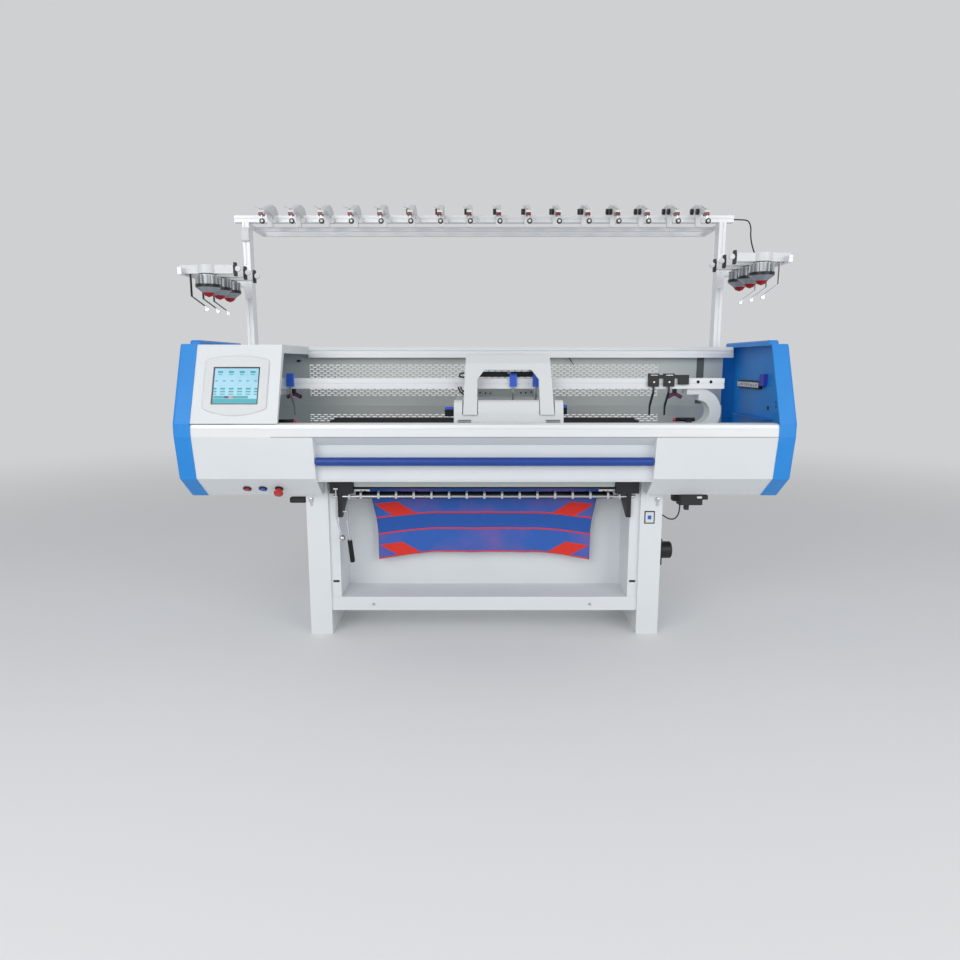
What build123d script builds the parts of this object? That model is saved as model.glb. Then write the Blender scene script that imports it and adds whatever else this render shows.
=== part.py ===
from build123d import *
from math import atan2, cos, degrees, hypot, radians, sin, tan
import os

os.makedirs("parts", exist_ok=True)

# Flat knitting machine, millimetres, +Z up, front towards -Y, floor at Z 0.
# Driving sizes of the whole machine
COVER_X = 1310.0          # half width over the blue end covers
PANEL_X = 1235.0          # half width of the white front and of the rails
FRONT = -465.0            # Y of the nose of the covers
BACK = 465.0              # Y of the rearmost edge, at the yarn guide bars
BED_H = 998.0             # height of the needle line
BED_HALF = 700.0          # half length of the needle beds
LEG_TOP = 740.0           # height of the legs, under the bed frame
NOSE_LOW = 945.0          # lower edge of the vertical nose
NOSE_HIGH = 1001.0        # upper edge of the vertical nose, where the console slope starts
CHIN_H = LEG_TOP + 20     # height where the front cover turns under
SKIRT_H = LEG_TOP - 71    # lower edge of the covers
TOP_H = 1333.0            # top of the covers
ARCH_TOP = 1290.0         # top of the carriage arch
BEAM_TOP = 1962.0         # top of the yarn beam

# Depths behind the nose
CHIN_T = 33.0
SKIRT_T = 148.0
TOP_T = 137.0
COVER_DEPTH = 780.0
LEG_T = 195.0
LEG_BACK_T = 720.0
LEDGE_T = 20.0             # the back cover's lower panel stands this far forward
FRAME_T = 190.0
BED_T = 350.0             # needle line
BACK_PANEL_T = 640.0

# Clearances and sheet sizes
SEAT = 0.3                # between a piece and what carries it
RUN = 0.05                # radial running fit of a shaft
PASS_GAP = 4.0            # between the travelling carriage and what it passes under
SHEET = 3.0               # folded steel sheet
SHELL = 6.0               # moulded end cover
STEP = 3.0                # white sheets lie this far inside the blue covers


def side_plane(x):
    return Plane.YZ.offset(x)


def front_plane(y):
    return Plane.XZ.offset(-y)


def profile(points):
    """Sketch points in a side plane, from depths behind the nose and heights."""
    return [(FRONT + t, h) for t, h in points]


def finish(builder, name):
    builder.part.label = name
    export_step(builder.part, f"parts/{name}.step")


# Blue end covers: shallow moulded dishes, open towards the middle of the machine
COVER_ROUND = 13.0
HATCH_H = 18.0
HATCH_FRONT_T = 205.0
HATCH_BACK_T = 745.0
HATCH_MARGIN = 12.0


def cover_points(inset):
    """Side outline of the covers, moved in by inset."""
    return [
        (inset, NOSE_LOW), (inset, NOSE_HIGH), (TOP_T + inset, TOP_H - inset),
        (COVER_DEPTH - inset, TOP_H - inset), (COVER_DEPTH - inset, SKIRT_H + inset),
        (SKIRT_T + inset, SKIRT_H + inset), (CHIN_T + inset, CHIN_H + inset / 2),
    ]


with BuildPart() as right_end_cover:
    with BuildSketch(side_plane(PANEL_X)):
        Polygon(*profile(cover_points(0)), align=None)
    extrude(amount=COVER_X - PANEL_X)
    outer = right_end_cover.faces().sort_by(Axis.X)[-1]
    fillet(outer.edges(), radius=COVER_ROUND)
    hatch_x = (PANEL_X + COVER_X) / 2
    hatch_y = FRONT + (HATCH_FRONT_T + HATCH_BACK_T) / 2
    with BuildSketch(Plane.XY.offset(TOP_H - SHELL / 2)):
        with Locations((hatch_x - SHELL / 2, hatch_y)):
            RectangleRounded(COVER_X - PANEL_X - 2 * HATCH_MARGIN,
                             HATCH_BACK_T - HATCH_FRONT_T, HATCH_MARGIN)
    extrude(amount=HATCH_H + SHELL / 2)
    hatch_top = right_end_cover.faces().sort_by(Axis.Z)[-1]
    chamfer(hatch_top.edges(), length=HATCH_H / 3)
    with BuildSketch(side_plane(PANEL_X)):
        Polygon(*profile(cover_points(SHELL)), align=None)
    extrude(amount=COVER_X - PANEL_X - SHELL, mode=Mode.SUBTRACT)
finish(right_end_cover, "right_end_cover")

with BuildPart() as left_end_cover:
    mirror(right_end_cover.part, about=Plane.YZ)
finish(left_end_cover, "left_end_cover")

# Aluminium rail along the nose
NOSE_RAIL_T = 60.0
NOSE_RAIL_WALL = 12.0
NOSE_RAIL_EDGE = 20.0
RAIL_GROOVE = 3.0

with BuildPart() as front_rail:
    with BuildSketch(side_plane(-PANEL_X)):
        Polygon(*profile([
            (STEP, NOSE_LOW), (STEP, NOSE_HIGH - NOSE_RAIL_EDGE - RAIL_GROOVE),
            (STEP + RAIL_GROOVE, NOSE_HIGH - NOSE_RAIL_EDGE - RAIL_GROOVE),
            (STEP + RAIL_GROOVE, NOSE_HIGH - NOSE_RAIL_EDGE),
            (STEP, NOSE_HIGH - NOSE_RAIL_EDGE),
            (STEP + NOSE_RAIL_EDGE / 4, NOSE_HIGH - NOSE_RAIL_EDGE / 4),
            (STEP + NOSE_RAIL_EDGE, NOSE_HIGH), (NOSE_RAIL_T, NOSE_HIGH),
            (NOSE_RAIL_T, NOSE_HIGH - NOSE_RAIL_WALL),
            (STEP + NOSE_RAIL_WALL, NOSE_HIGH - NOSE_RAIL_WALL),
            (STEP + NOSE_RAIL_WALL, NOSE_LOW),
        ]), align=None)
    extrude(amount=2 * PANEL_X)
finish(front_rail, "front_rail")

# White front cover with the long recess that holds the start bar
RECESS_X = 727.0
RECESS_T = 62.0
RECESS_TOP = 905.0
RECESS_LOW = 750.0
RECESS_LIP = 14.0
BAR_R = 18.5
BAR_H = 837.0
BAR_T = 32.0
BAR_END_GAP = 4.0
PIN_R = 8.0
PIN_REACH = 7.0
BUTTON_R = 11.0
BUTTON_GAP = 0.3
COLLAR_NECK = 3.0
COLLAR_RIM = 6.5
BUTTON_X = (-1042.0, -973.0, -902.0)
BUTTON_T = 102.0
SKIRT_ANGLE = atan2(CHIN_H - SKIRT_H, SKIRT_T - CHIN_T)
BUTTON_H = CHIN_H - (BUTTON_T - STEP - CHIN_T) * tan(SKIRT_ANGLE) + STEP / 2


def skirt_plane(x):
    """Plane of the turned-under skirt at one button, normal outwards and down."""
    return Plane(origin=(x, FRONT + BUTTON_T, BUTTON_H), x_dir=(1, 0, 0),
                 z_dir=(0, -sin(SKIRT_ANGLE), -cos(SKIRT_ANGLE)))


front_points = [
    (STEP, NOSE_LOW), (STEP + CHIN_T, CHIN_H + STEP / 2), (STEP + SKIRT_T, SKIRT_H + STEP),
    (LEG_T - SEAT, SKIRT_H + STEP), (LEG_T - SEAT, SKIRT_H + STEP + SHEET),
    (STEP + SKIRT_T + SHEET / 2, SKIRT_H + STEP + SHEET),
    (STEP + CHIN_T + SHEET, CHIN_H + STEP / 2 + SHEET / 2), (STEP + SHEET, NOSE_LOW),
]
recess_points = [
    (STEP, NOSE_LOW), (RECESS_T, RECESS_TOP), (RECESS_T, RECESS_LOW),
    (RECESS_T - RECESS_LIP, RECESS_LOW), (RECESS_T - RECESS_LIP, RECESS_LOW - SHEET),
    (RECESS_T + SHEET, RECESS_LOW - SHEET), (RECESS_T + SHEET, RECESS_TOP + SHEET),
    (STEP + SHEET, NOSE_LOW),
]
cheek_points = [
    (STEP, NOSE_LOW), (STEP + CHIN_T, CHIN_H + STEP / 2), (STEP + SKIRT_T, SKIRT_H + STEP),
    (FRAME_T - SEAT, SKIRT_H + STEP), (FRAME_T - SEAT, RECESS_LOW - SHEET),
    (RECESS_T + SHEET, RECESS_LOW - SHEET), (RECESS_T + SHEET, RECESS_TOP + SHEET),
    (STEP + SHEET, NOSE_LOW),
]
with BuildPart() as front_cover:
    for start, points, length in [
        (-PANEL_X, front_points, PANEL_X - RECESS_X), (RECESS_X, front_points, PANEL_X - RECESS_X),
        (-RECESS_X, recess_points, 2 * RECESS_X),
        (-RECESS_X, cheek_points, SHEET), (RECESS_X - SHEET, cheek_points, SHEET),
    ]:
        with BuildSketch(side_plane(start)):
            Polygon(*profile(points), align=None)
        extrude(amount=length)
    with BuildSketch(side_plane(-RECESS_X)):
        with Locations((FRONT + BAR_T, BAR_H)):
            Circle(PIN_R + RUN)
    extrude(amount=2 * RECESS_X, mode=Mode.SUBTRACT)
    for x in BUTTON_X:
        with BuildSketch(skirt_plane(x)):
            Circle(BUTTON_R + BUTTON_GAP + COLLAR_NECK + SEAT)
        extrude(amount=2 * SHEET, both=True, mode=Mode.SUBTRACT)
finish(front_cover, "front_cover")

# Blue start bar, turned a little on its end pins by the knitter's hand
with BuildPart() as start_bar:
    bar_half = RECESS_X - SHEET - BAR_END_GAP
    with BuildSketch(side_plane(-bar_half)):
        with Locations((FRONT + BAR_T, BAR_H)):
            Circle(BAR_R)
    extrude(amount=2 * bar_half)
    chamfer(start_bar.edges().filter_by(GeomType.CIRCLE), length=3)
    with BuildSketch(side_plane(-bar_half - PIN_REACH)):
        with Locations((FRONT + BAR_T, BAR_H)):
            Circle(PIN_R)
    extrude(amount=2 * (bar_half + PIN_REACH))
finish(start_bar, "start_bar")

# Push buttons and their collars on the left skirt
COLLAR_T = 5.0
NECK_LENGTH = 22.0
BUTTON_OUT = 9.0
BUTTON_IN = 16.0
MUSHROOM_R = 20.5
MUSHROOM_T = 14.0
MUSHROOM_OUT = 20.0

with BuildPart() as button_collars:
    for x in BUTTON_X:
        with BuildSketch(skirt_plane(x)):
            Circle(BUTTON_R + BUTTON_GAP + COLLAR_RIM)
            Circle(BUTTON_R + BUTTON_GAP, mode=Mode.SUBTRACT)
        extrude(amount=COLLAR_T)
        with BuildSketch(skirt_plane(x)):
            Circle(BUTTON_R + BUTTON_GAP + COLLAR_NECK)
            Circle(BUTTON_R + BUTTON_GAP, mode=Mode.SUBTRACT)
        extrude(amount=-NECK_LENGTH)
finish(button_collars, "button_collars")

for name, x in (("red_button", BUTTON_X[0]), ("blue_button", BUTTON_X[1])):
    with BuildPart() as button:
        with BuildSketch(skirt_plane(x).offset(-BUTTON_IN)):
            Circle(BUTTON_R)
        extrude(amount=BUTTON_IN + BUTTON_OUT)
        chamfer(button.faces().sort_by(Axis.Z)[0].edges(), length=1.5)
    finish(button, name)

with BuildPart() as stop_button:
    with BuildSketch(skirt_plane(BUTTON_X[2]).offset(-BUTTON_IN)):
        Circle(BUTTON_R)
    extrude(amount=BUTTON_IN + MUSHROOM_OUT)
    with BuildSketch(skirt_plane(BUTTON_X[2]).offset(MUSHROOM_OUT)):
        Circle(MUSHROOM_R)
    extrude(amount=MUSHROOM_T)
    chamfer(stop_button.faces().sort_by(Axis.Z)[0].edges(), length=MUSHROOM_T / 3)
finish(stop_button, "stop_button")

# White console panel: sloped front, top sheet running back and a lip towards the beds
CONSOLE_X = -870.0
CONSOLE_LIP = TOP_H - STEP - ARCH_TOP - PASS_GAP
SLOPE = atan2(TOP_T, TOP_H - NOSE_HIGH)
SCREEN_X = -1054.0
SCREEN_W = 198.0
SCREEN_TALL = 169.0
SCREEN_Y = 167.0          # centre of the screen up the slope
SCREEN_T = 9.0

with BuildPart() as console_panel:
    with BuildSketch(side_plane(-PANEL_X)):
        Polygon(*profile([
            (STEP, NOSE_HIGH), (TOP_T + STEP, TOP_H - STEP), (BACK_PANEL_T, TOP_H - STEP),
            (BACK_PANEL_T, TOP_H - STEP - SHEET), (TOP_T + STEP + SHEET, TOP_H - STEP - SHEET),
            (STEP + SHEET + 1, NOSE_HIGH),
        ]), align=None)
    extrude(amount=PANEL_X + CONSOLE_X)
    with BuildSketch(side_plane(CONSOLE_X - SHEET)):
        Polygon(*profile([
            (STEP, NOSE_HIGH), (TOP_T + STEP, TOP_H - STEP), (BACK_PANEL_T, TOP_H - STEP),
            (BACK_PANEL_T, TOP_H - STEP - CONSOLE_LIP),
            (TOP_T + STEP + CONSOLE_LIP / 2, TOP_H - STEP - CONSOLE_LIP),
            (STEP + CONSOLE_LIP / 2, NOSE_HIGH),
        ]), align=None)
    extrude(amount=SHEET)
    slope_plane = Plane(origin=(SCREEN_X, FRONT + STEP, NOSE_HIGH), x_dir=(1, 0, 0),
                        z_dir=(0, -cos(SLOPE), sin(SLOPE)))
    with BuildSketch(slope_plane):
        with Locations((0, SCREEN_Y)):
            Rectangle(SCREEN_W + 2 * SEAT, SCREEN_TALL + 2 * SEAT)
    extrude(amount=4 * SHEET, both=True, mode=Mode.SUBTRACT)
finish(console_panel, "console_panel")

# Monitor: barrel-shaped bezel on the slope and the screen in its window
BEZEL_HALF = 136.0
BEZEL_LOW = 65.0
BEZEL_HIGH = 285.0
BEZEL_BELLY = 31.0
BEZEL_CROWN = 18.0
BEZEL_T = 7.0
SCREEN_SINK = 3.0

with BuildPart() as monitor_bezel:
    with BuildSketch(slope_plane.offset(STEP / 10)) as bezel_sketch:
        with BuildLine():
            Line((-BEZEL_HALF, BEZEL_LOW), (-BEZEL_HALF, BEZEL_HIGH))
            ThreePointArc((-BEZEL_HALF, BEZEL_HIGH), (0, BEZEL_HIGH + BEZEL_CROWN),
                          (BEZEL_HALF, BEZEL_HIGH))
            Line((BEZEL_HALF, BEZEL_HIGH), (BEZEL_HALF, BEZEL_LOW))
            ThreePointArc((BEZEL_HALF, BEZEL_LOW), (0, BEZEL_LOW - BEZEL_BELLY),
                          (-BEZEL_HALF, BEZEL_LOW))
        make_face()
        fillet(bezel_sketch.vertices(), radius=BEZEL_CROWN)
    extrude(amount=BEZEL_T)
    bezel_face = monitor_bezel.faces().sort_by(SortBy.AREA)[-2:].sort_by(Axis.Y)[0]
    chamfer(bezel_face.edges(), length=BEZEL_T / 2)
    with BuildSketch(slope_plane):
        with Locations((0, SCREEN_Y)):
            Rectangle(SCREEN_W, SCREEN_TALL)
    extrude(amount=2 * BEZEL_T, mode=Mode.SUBTRACT)
finish(monitor_bezel, "monitor_bezel")

with BuildPart() as monitor_screen:
    with BuildSketch(slope_plane.offset(BEZEL_T - SCREEN_SINK)):
        with Locations((0, SCREEN_Y)):
            Rectangle(SCREEN_W - 2 * SEAT, SCREEN_TALL - 2 * SEAT)
    extrude(amount=-SCREEN_T)
finish(monitor_screen, "monitor_screen")

# Legs: folded steel boxes, open at the top under the bed frame, with a set-back inner flange
LEG_OUT_X = 810.0
LEG_IN_X = 710.0
FLANGE_X = 665.0
FLANGE_T = 207.3
LEG_WALL = 4.0
TRAY_TOP = 177.0
TRAY_LOW = 112.0          # the inner flanges end here, behind the tray

with BuildPart() as right_leg:
    with BuildSketch(Plane.XY):
        with Locations(((LEG_OUT_X + LEG_IN_X) / 2, FRONT + (LEG_T + LEG_BACK_T) / 2)):
            Rectangle(LEG_OUT_X - LEG_IN_X, LEG_BACK_T - LEG_T)
    extrude(amount=LEG_TOP)
    offset(amount=-LEG_WALL, openings=right_leg.faces().sort_by(Axis.Z)[-1])
    with BuildSketch(Plane.XY.offset(TRAY_LOW)):
        with Locations(((LEG_IN_X + FLANGE_X) / 2, FRONT + (FLANGE_T + BACK_PANEL_T) / 2)):
            Rectangle(LEG_IN_X - FLANGE_X, BACK_PANEL_T - FLANGE_T)
        with Locations(((LEG_IN_X + FLANGE_X + LEG_WALL) / 2,
                        FRONT + (FLANGE_T + BACK_PANEL_T) / 2)):
            Rectangle(LEG_IN_X - FLANGE_X - LEG_WALL, BACK_PANEL_T - FLANGE_T - 2 * LEG_WALL,
                      mode=Mode.SUBTRACT)
    extrude(amount=LEG_TOP - TRAY_LOW)
finish(right_leg, "right_leg")

with BuildPart() as left_leg:
    mirror(right_leg.part, about=Plane.YZ)
finish(left_leg, "left_leg")

# Tray between the legs and the white panel that rises from its back
TRAY_T = 204.0
CHUTE_T = 406.0

with BuildPart() as bottom_tray:
    with BuildSketch(front_plane(FRONT + TRAY_T)):
        with Locations((0, (TRAY_TOP + TRAY_LOW) / 2)):
            Rectangle(2 * (LEG_IN_X - SEAT), TRAY_TOP - TRAY_LOW)
    extrude(amount=-SHEET)
    with BuildSketch(Plane.XY.offset(TRAY_TOP)):
        with Locations((0, FRONT + (TRAY_T + CHUTE_T) / 2)):
            Rectangle(2 * (FLANGE_X - SEAT), CHUTE_T - TRAY_T)
    extrude(amount=-SHEET)
finish(bottom_tray, "bottom_tray")

CHUTE_TOP = LEG_TOP - 100
with BuildPart() as chute_panel:
    with BuildSketch(front_plane(FRONT + CHUTE_T)):
        with Locations((0, (TRAY_LOW + CHUTE_TOP) / 2)):
            Rectangle(2 * (FLANGE_X - SEAT), CHUTE_TOP - TRAY_LOW)
    extrude(amount=-SHEET)
finish(chute_panel, "chute_panel")

# Needle beds: two ribbed plates in an inverted V, with a trick for each group of needles
BED_DROP = 163.0          # height of a bed's slope
BED_PLATE = 20.0
MOUTH = 5.0               # half of the gap between the beds
TRICK_PITCH = 20.0
TRICK_W = 7.0
TRICK_DEEP = 5.0
bed_run = BED_PLATE / sin(radians(45))
trick_count = int((2 * BED_HALF - TRICK_PITCH) / TRICK_PITCH)

bed_points = [
    (BED_T - MOUTH, BED_H), (BED_T - MOUTH - BED_DROP, BED_H - BED_DROP),
    (BED_T - MOUTH - BED_DROP + bed_run / 2, BED_H - BED_DROP - bed_run / 2),
    (BED_T - MOUTH, BED_H - bed_run),
]
bed_slope = Plane(origin=(0, FRONT + BED_T - MOUTH - BED_DROP / 2, BED_H - BED_DROP / 2),
                  x_dir=(1, 0, 0), z_dir=(0, -sin(radians(45)), cos(radians(45))))
with BuildPart() as front_needle_bed:
    with BuildSketch(side_plane(-BED_HALF)):
        Polygon(*profile(bed_points), align=None)
    extrude(amount=2 * BED_HALF)
    with BuildSketch(bed_slope):
        with GridLocations(TRICK_PITCH, 1, trick_count, 1):
            Rectangle(TRICK_W, 2 * BED_DROP)
    extrude(amount=-TRICK_DEEP, mode=Mode.SUBTRACT)
finish(front_needle_bed, "front_needle_bed")

with BuildPart() as rear_needle_bed:
    mirror(front_needle_bed.part, about=front_plane(FRONT + BED_T))
finish(rear_needle_bed, "rear_needle_bed")

# Bed frame: one casting with the roof under the beds, end plates and the fabric slot
FRAME_X = 1100.0
END_PLATE = 30.0
FRAME_CROWN = 925.0       # flat on top, where the rail brackets stand
SLOT_HALF = 30.0
SLOT_X = 720.0
APRON_X = 590.0
APRON_DROP = 40.0
RUNNER_R = 15.0
RUNNER_T = 150.0
RUNNER_H = 850.0
DRIVE_X = 1060.0
DRIVE_H = 790.0
IDLER_BLOCK = 70.0
IDLER_TALL = 60.0
IDLER_FRONT_T = 545.0
PULLEY_T = 597.0
SPINDLE_R = 8.0
frame_rear_t = 2 * BED_T - FRAME_T
under_bed = BED_H - BED_T + MOUTH - bed_run - SEAT
frame_points = [
    (FRAME_T, LEG_TOP), (FRAME_T, FRAME_T + under_bed), (FRAME_CROWN - under_bed, FRAME_CROWN),
    (2 * BED_T - FRAME_CROWN + under_bed, FRAME_CROWN), (frame_rear_t, FRAME_T + under_bed),
    (frame_rear_t, LEG_TOP),
]
end_plate_points = [
    (STEP + SHEET + SEAT, NOSE_LOW), (STEP + SHEET + CHIN_T + SEAT, CHIN_H + STEP),
    (STEP + SHEET + SKIRT_T, SKIRT_H + STEP + SHEET + SEAT),
    (BACK_PANEL_T - LEDGE_T - SEAT, SKIRT_H + STEP + 2 * SHEET),
    (BACK_PANEL_T - LEDGE_T - SEAT, NOSE_LOW),
]
with BuildPart() as bed_frame:
    with BuildSketch(side_plane(-FRAME_X)):
        Polygon(*profile(frame_points), align=None)
    extrude(amount=2 * FRAME_X)
    with BuildSketch(Plane.XY.offset(LEG_TOP)):
        with Locations((0, FRONT + BED_T)):
            Rectangle(2 * SLOT_X, 2 * SLOT_HALF)
    extrude(amount=FRAME_CROWN - LEG_TOP, mode=Mode.SUBTRACT)
    for x in (-FRAME_X - END_PLATE, FRAME_X):
        with BuildSketch(side_plane(x)):
            Polygon(*profile(end_plate_points), align=None)
        extrude(amount=END_PLATE)
    with BuildSketch(front_plane(FRONT + FRAME_T)):
        with Locations((0, LEG_TOP - APRON_DROP / 2)):
            Rectangle(2 * APRON_X, APRON_DROP)
    extrude(amount=-2 * SHEET)
    with BuildSketch(front_plane(FRONT + IDLER_FRONT_T)):
        with Locations((-FRAME_X + IDLER_BLOCK / 2, DRIVE_H)):
            Rectangle(IDLER_BLOCK, IDLER_TALL)
    extrude(amount=-(PULLEY_T - SHEET - IDLER_FRONT_T))
    with BuildSketch(front_plane(FRONT + IDLER_FRONT_T)):
        with Locations((-DRIVE_X, DRIVE_H)):
            Circle(SPINDLE_R + RUN)
    extrude(amount=-(PULLEY_T - IDLER_FRONT_T), mode=Mode.SUBTRACT)
finish(bed_frame, "bed_frame")

# Round runners that carry the carriage, one each side, between the end plates
runner_places = [(FRONT + RUNNER_T, RUNNER_H), (FRONT + 2 * BED_T - RUNNER_T, RUNNER_H)]
with BuildPart() as carriage_rails:
    with BuildSketch(side_plane(-FRAME_X)):
        with Locations(*runner_places):
            Circle(RUNNER_R)
    extrude(amount=2 * FRAME_X)
finish(carriage_rails, "carriage_rails")

# Carriage: two cam boxes over the beds and the arch that joins them
CARRIAGE_X = 105.0
BOX_HALF = 239.0
CAM_GAP = 6.0
BOX_FRONT_T = 118.0
BOX_IN_T = 315.0
BOX_TOP = 1090.0
LUG_HALF = 26.0
LUG_LOW = 826.0
BOX_LOW = 887.0
ARCH_HALF_LOW = 199.0
ARCH_HALF_TOP = 188.0
ARCH_LOW = 1030.0
ARCH_BAND = 38.0
ARCH_SHOULDER = 40.0
WINDOW_HALF = 137.0
WINDOW_TOP = 1222.0
WINDOW_CUT = 42.0
POCKET_GAP = 3.0
POCKET_T = 200.0
VENT_W = 60.0
VENT_TALL = 3.0
over_bed = BED_H - BED_T + MOUTH + CAM_GAP / sin(radians(45))

box_points = [
    (BOX_FRONT_T + 8, BOX_LOW), (BOX_FRONT_T, 965), (BOX_FRONT_T + 16, 1040),
    (BOX_FRONT_T + 34, BOX_TOP - 8), (BOX_FRONT_T + 46, BOX_TOP), (215, BOX_TOP),
    (BOX_IN_T, 1042), (BOX_IN_T, BOX_IN_T + over_bed), (200, 200 + over_bed),
    (200, BOX_LOW),
]
with BuildPart() as front_box:
    with BuildSketch(side_plane(CARRIAGE_X - BOX_HALF)):
        Polygon(*profile(box_points), align=None)
    extrude(amount=2 * BOX_HALF)
    with BuildSketch(side_plane(CARRIAGE_X - BOX_HALF)):
        with Locations((FRONT + RUNNER_T, (LUG_LOW + BOX_LOW) / 2)):
            Rectangle(2 * LUG_HALF, BOX_LOW - LUG_LOW)
    extrude(amount=2 * BOX_HALF)
    with BuildSketch(side_plane(CARRIAGE_X - BOX_HALF)):
        with Locations((FRONT + RUNNER_T, RUNNER_H)):
            Circle(RUNNER_R + RUN)
    extrude(amount=2 * BOX_HALF, mode=Mode.SUBTRACT)
    pocket_w = ARCH_HALF_LOW - WINDOW_HALF + 2 * POCKET_GAP
    with BuildSketch(Plane.XY.offset(ARCH_LOW)):
        for side in (-1, 1):
            leg_x = CARRIAGE_X + side * (ARCH_HALF_LOW + WINDOW_HALF) / 2
            with Locations((leg_x, FRONT + POCKET_T / 2)):
                Rectangle(pocket_w, POCKET_T)
    extrude(amount=BOX_TOP, mode=Mode.SUBTRACT)
    with BuildSketch(front_plane(FRONT)):
        for side in (-1, 1):
            for row in (985, 1000):
                with Locations((CARRIAGE_X + side * (BOX_HALF - VENT_W / 2 - 14), row)):
                    Rectangle(VENT_W, VENT_TALL)
    extrude(amount=-(BOX_FRONT_T + 14), mode=Mode.SUBTRACT)

CLAMP_HALF = 30.0
BELT_INNER_R = 28.0
BELT_THICK = 4.0
BELT_W = 12.0
BELT_T = 599.0
belt_top = DRIVE_H + BELT_INNER_R + BELT_THICK
with BuildPart() as carriage_boxes:
    add(front_box.part)
    mirror(front_box.part, about=front_plane(FRONT + BED_T))
    with BuildSketch(side_plane(CARRIAGE_X - CLAMP_HALF)):
        Polygon(*profile([
            (2 * BED_T - RUNNER_T + LUG_HALF - 1, belt_top + 1), (BELT_T + BELT_W, belt_top + 1),
            (BELT_T + BELT_W, belt_top + 9), (2 * BED_T - RUNNER_T + LUG_HALF - 1, RUNNER_H + 20),
        ]), align=None)
    extrude(amount=2 * CLAMP_HALF)
finish(carriage_boxes, "carriage_boxes")

arch_rise = ARCH_TOP - ARCH_SHOULDER
with BuildPart() as carriage_arch:
    with BuildSketch(side_plane(CARRIAGE_X - ARCH_HALF_LOW)):
        Polygon(*profile([
            (BOX_FRONT_T + 3, ARCH_LOW), (246, arch_rise), (290, ARCH_TOP),
            (2 * BED_T - 290, ARCH_TOP), (2 * BED_T - 246, arch_rise),
            (2 * BED_T - BOX_FRONT_T - 3, ARCH_LOW), (2 * BED_T - BOX_FRONT_T - 3 - ARCH_BAND, ARCH_LOW),
            (2 * BED_T - 292, ARCH_TOP - ARCH_BAND - 8), (292, ARCH_TOP - ARCH_BAND - 8),
            (BOX_FRONT_T + 3 + ARCH_BAND, ARCH_LOW),
        ]), align=None)
    extrude(amount=2 * ARCH_HALF_LOW)
    with BuildSketch(front_plane(FRONT)):
        with Locations((CARRIAGE_X, 0)):
            Polygon((-ARCH_HALF_LOW, ARCH_LOW), (-ARCH_HALF_TOP, ARCH_TOP),
                    (ARCH_HALF_TOP, ARCH_TOP), (ARCH_HALF_LOW, ARCH_LOW), align=None)
    extrude(amount=-2 * BED_T, mode=Mode.INTERSECT)
    fillet(carriage_arch.edges().filter_by(Axis.X).group_by(Axis.Z)[-1], radius=14)
    with BuildSketch(front_plane(FRONT)):
        with Locations((CARRIAGE_X, 0)):
            Polygon((-WINDOW_HALF, ARCH_LOW), (-WINDOW_HALF, WINDOW_TOP - WINDOW_CUT),
                    (-WINDOW_HALF + WINDOW_CUT / 1.3, WINDOW_TOP),
                    (WINDOW_HALF - WINDOW_CUT / 1.3, WINDOW_TOP),
                    (WINDOW_HALF, WINDOW_TOP - WINDOW_CUT), (WINDOW_HALF, ARCH_LOW), align=None)
    extrude(amount=-2 * BED_T, mode=Mode.SUBTRACT)
finish(carriage_arch, "carriage_arch")

# Belt drive behind the rear bed: motor, toothed belt, driving pulley and idler
PULLEY_GAP = 0.3
MOTOR_BOX = 80.0
MOTOR_FRONT_T = frame_rear_t + SEAT
MOTOR_BACK_T = 594.0
FLANGE_RIM = 3.0

with BuildPart() as drive_belt:
    with BuildSketch(front_plane(FRONT + BELT_T)):
        with Locations((0, DRIVE_H)):
            SlotCenterToCenter(2 * DRIVE_X, 2 * (BELT_INNER_R + BELT_THICK))
            SlotCenterToCenter(2 * DRIVE_X, 2 * BELT_INNER_R, mode=Mode.SUBTRACT)
    extrude(amount=-BELT_W)
finish(drive_belt, "drive_belt")

for name, x, start_t in (("drive_pulley", DRIVE_X, MOTOR_BACK_T - 40),
                         ("idler_pulley", -DRIVE_X, PULLEY_T - SHEET - 40)):
    with BuildPart() as pulley:
        with BuildSketch(front_plane(FRONT + PULLEY_T)):
            with Locations((x, DRIVE_H)):
                Circle(BELT_INNER_R - PULLEY_GAP)
        extrude(amount=-(BELT_W + 4))
        with BuildSketch(front_plane(FRONT + start_t)):
            with Locations((x, DRIVE_H)):
                Circle(SPINDLE_R)
        extrude(amount=-(PULLEY_T - start_t))
    finish(pulley, name)

with BuildPart() as drive_motor:
    with BuildSketch(front_plane(FRONT + MOTOR_FRONT_T)):
        with Locations((DRIVE_X, DRIVE_H)):
            Rectangle(MOTOR_BOX - 2 * SEAT, MOTOR_BOX - 2 * SEAT)
    extrude(amount=-(MOTOR_BACK_T - MOTOR_FRONT_T))
    chamfer(drive_motor.edges().filter_by(Axis.Y), length=8)
    with BuildSketch(front_plane(FRONT + MOTOR_BACK_T)):
        with Locations((DRIVE_X, DRIVE_H)):
            Circle(SPINDLE_R + RUN)
    extrude(amount=45, mode=Mode.SUBTRACT)
finish(drive_motor, "drive_motor")

# Back cover: lower panel, ledge and upper panel with rows of ventilation slots
LEDGE_H = 1041.0
BACK_X = 1200.0
BACK_LOW = LEG_TOP + SEAT
VENT_PITCH_X = 88.0
VENT_PITCH_Z = 32.0
VENT_SLOT = 60.0
VENT_SLOT_TALL = 12.0
VENT_FIELD = 1716.0
VENT_LOW = 1100.0
vent_rows = 5
vent_columns = int(VENT_FIELD / VENT_PITCH_X)

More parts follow.
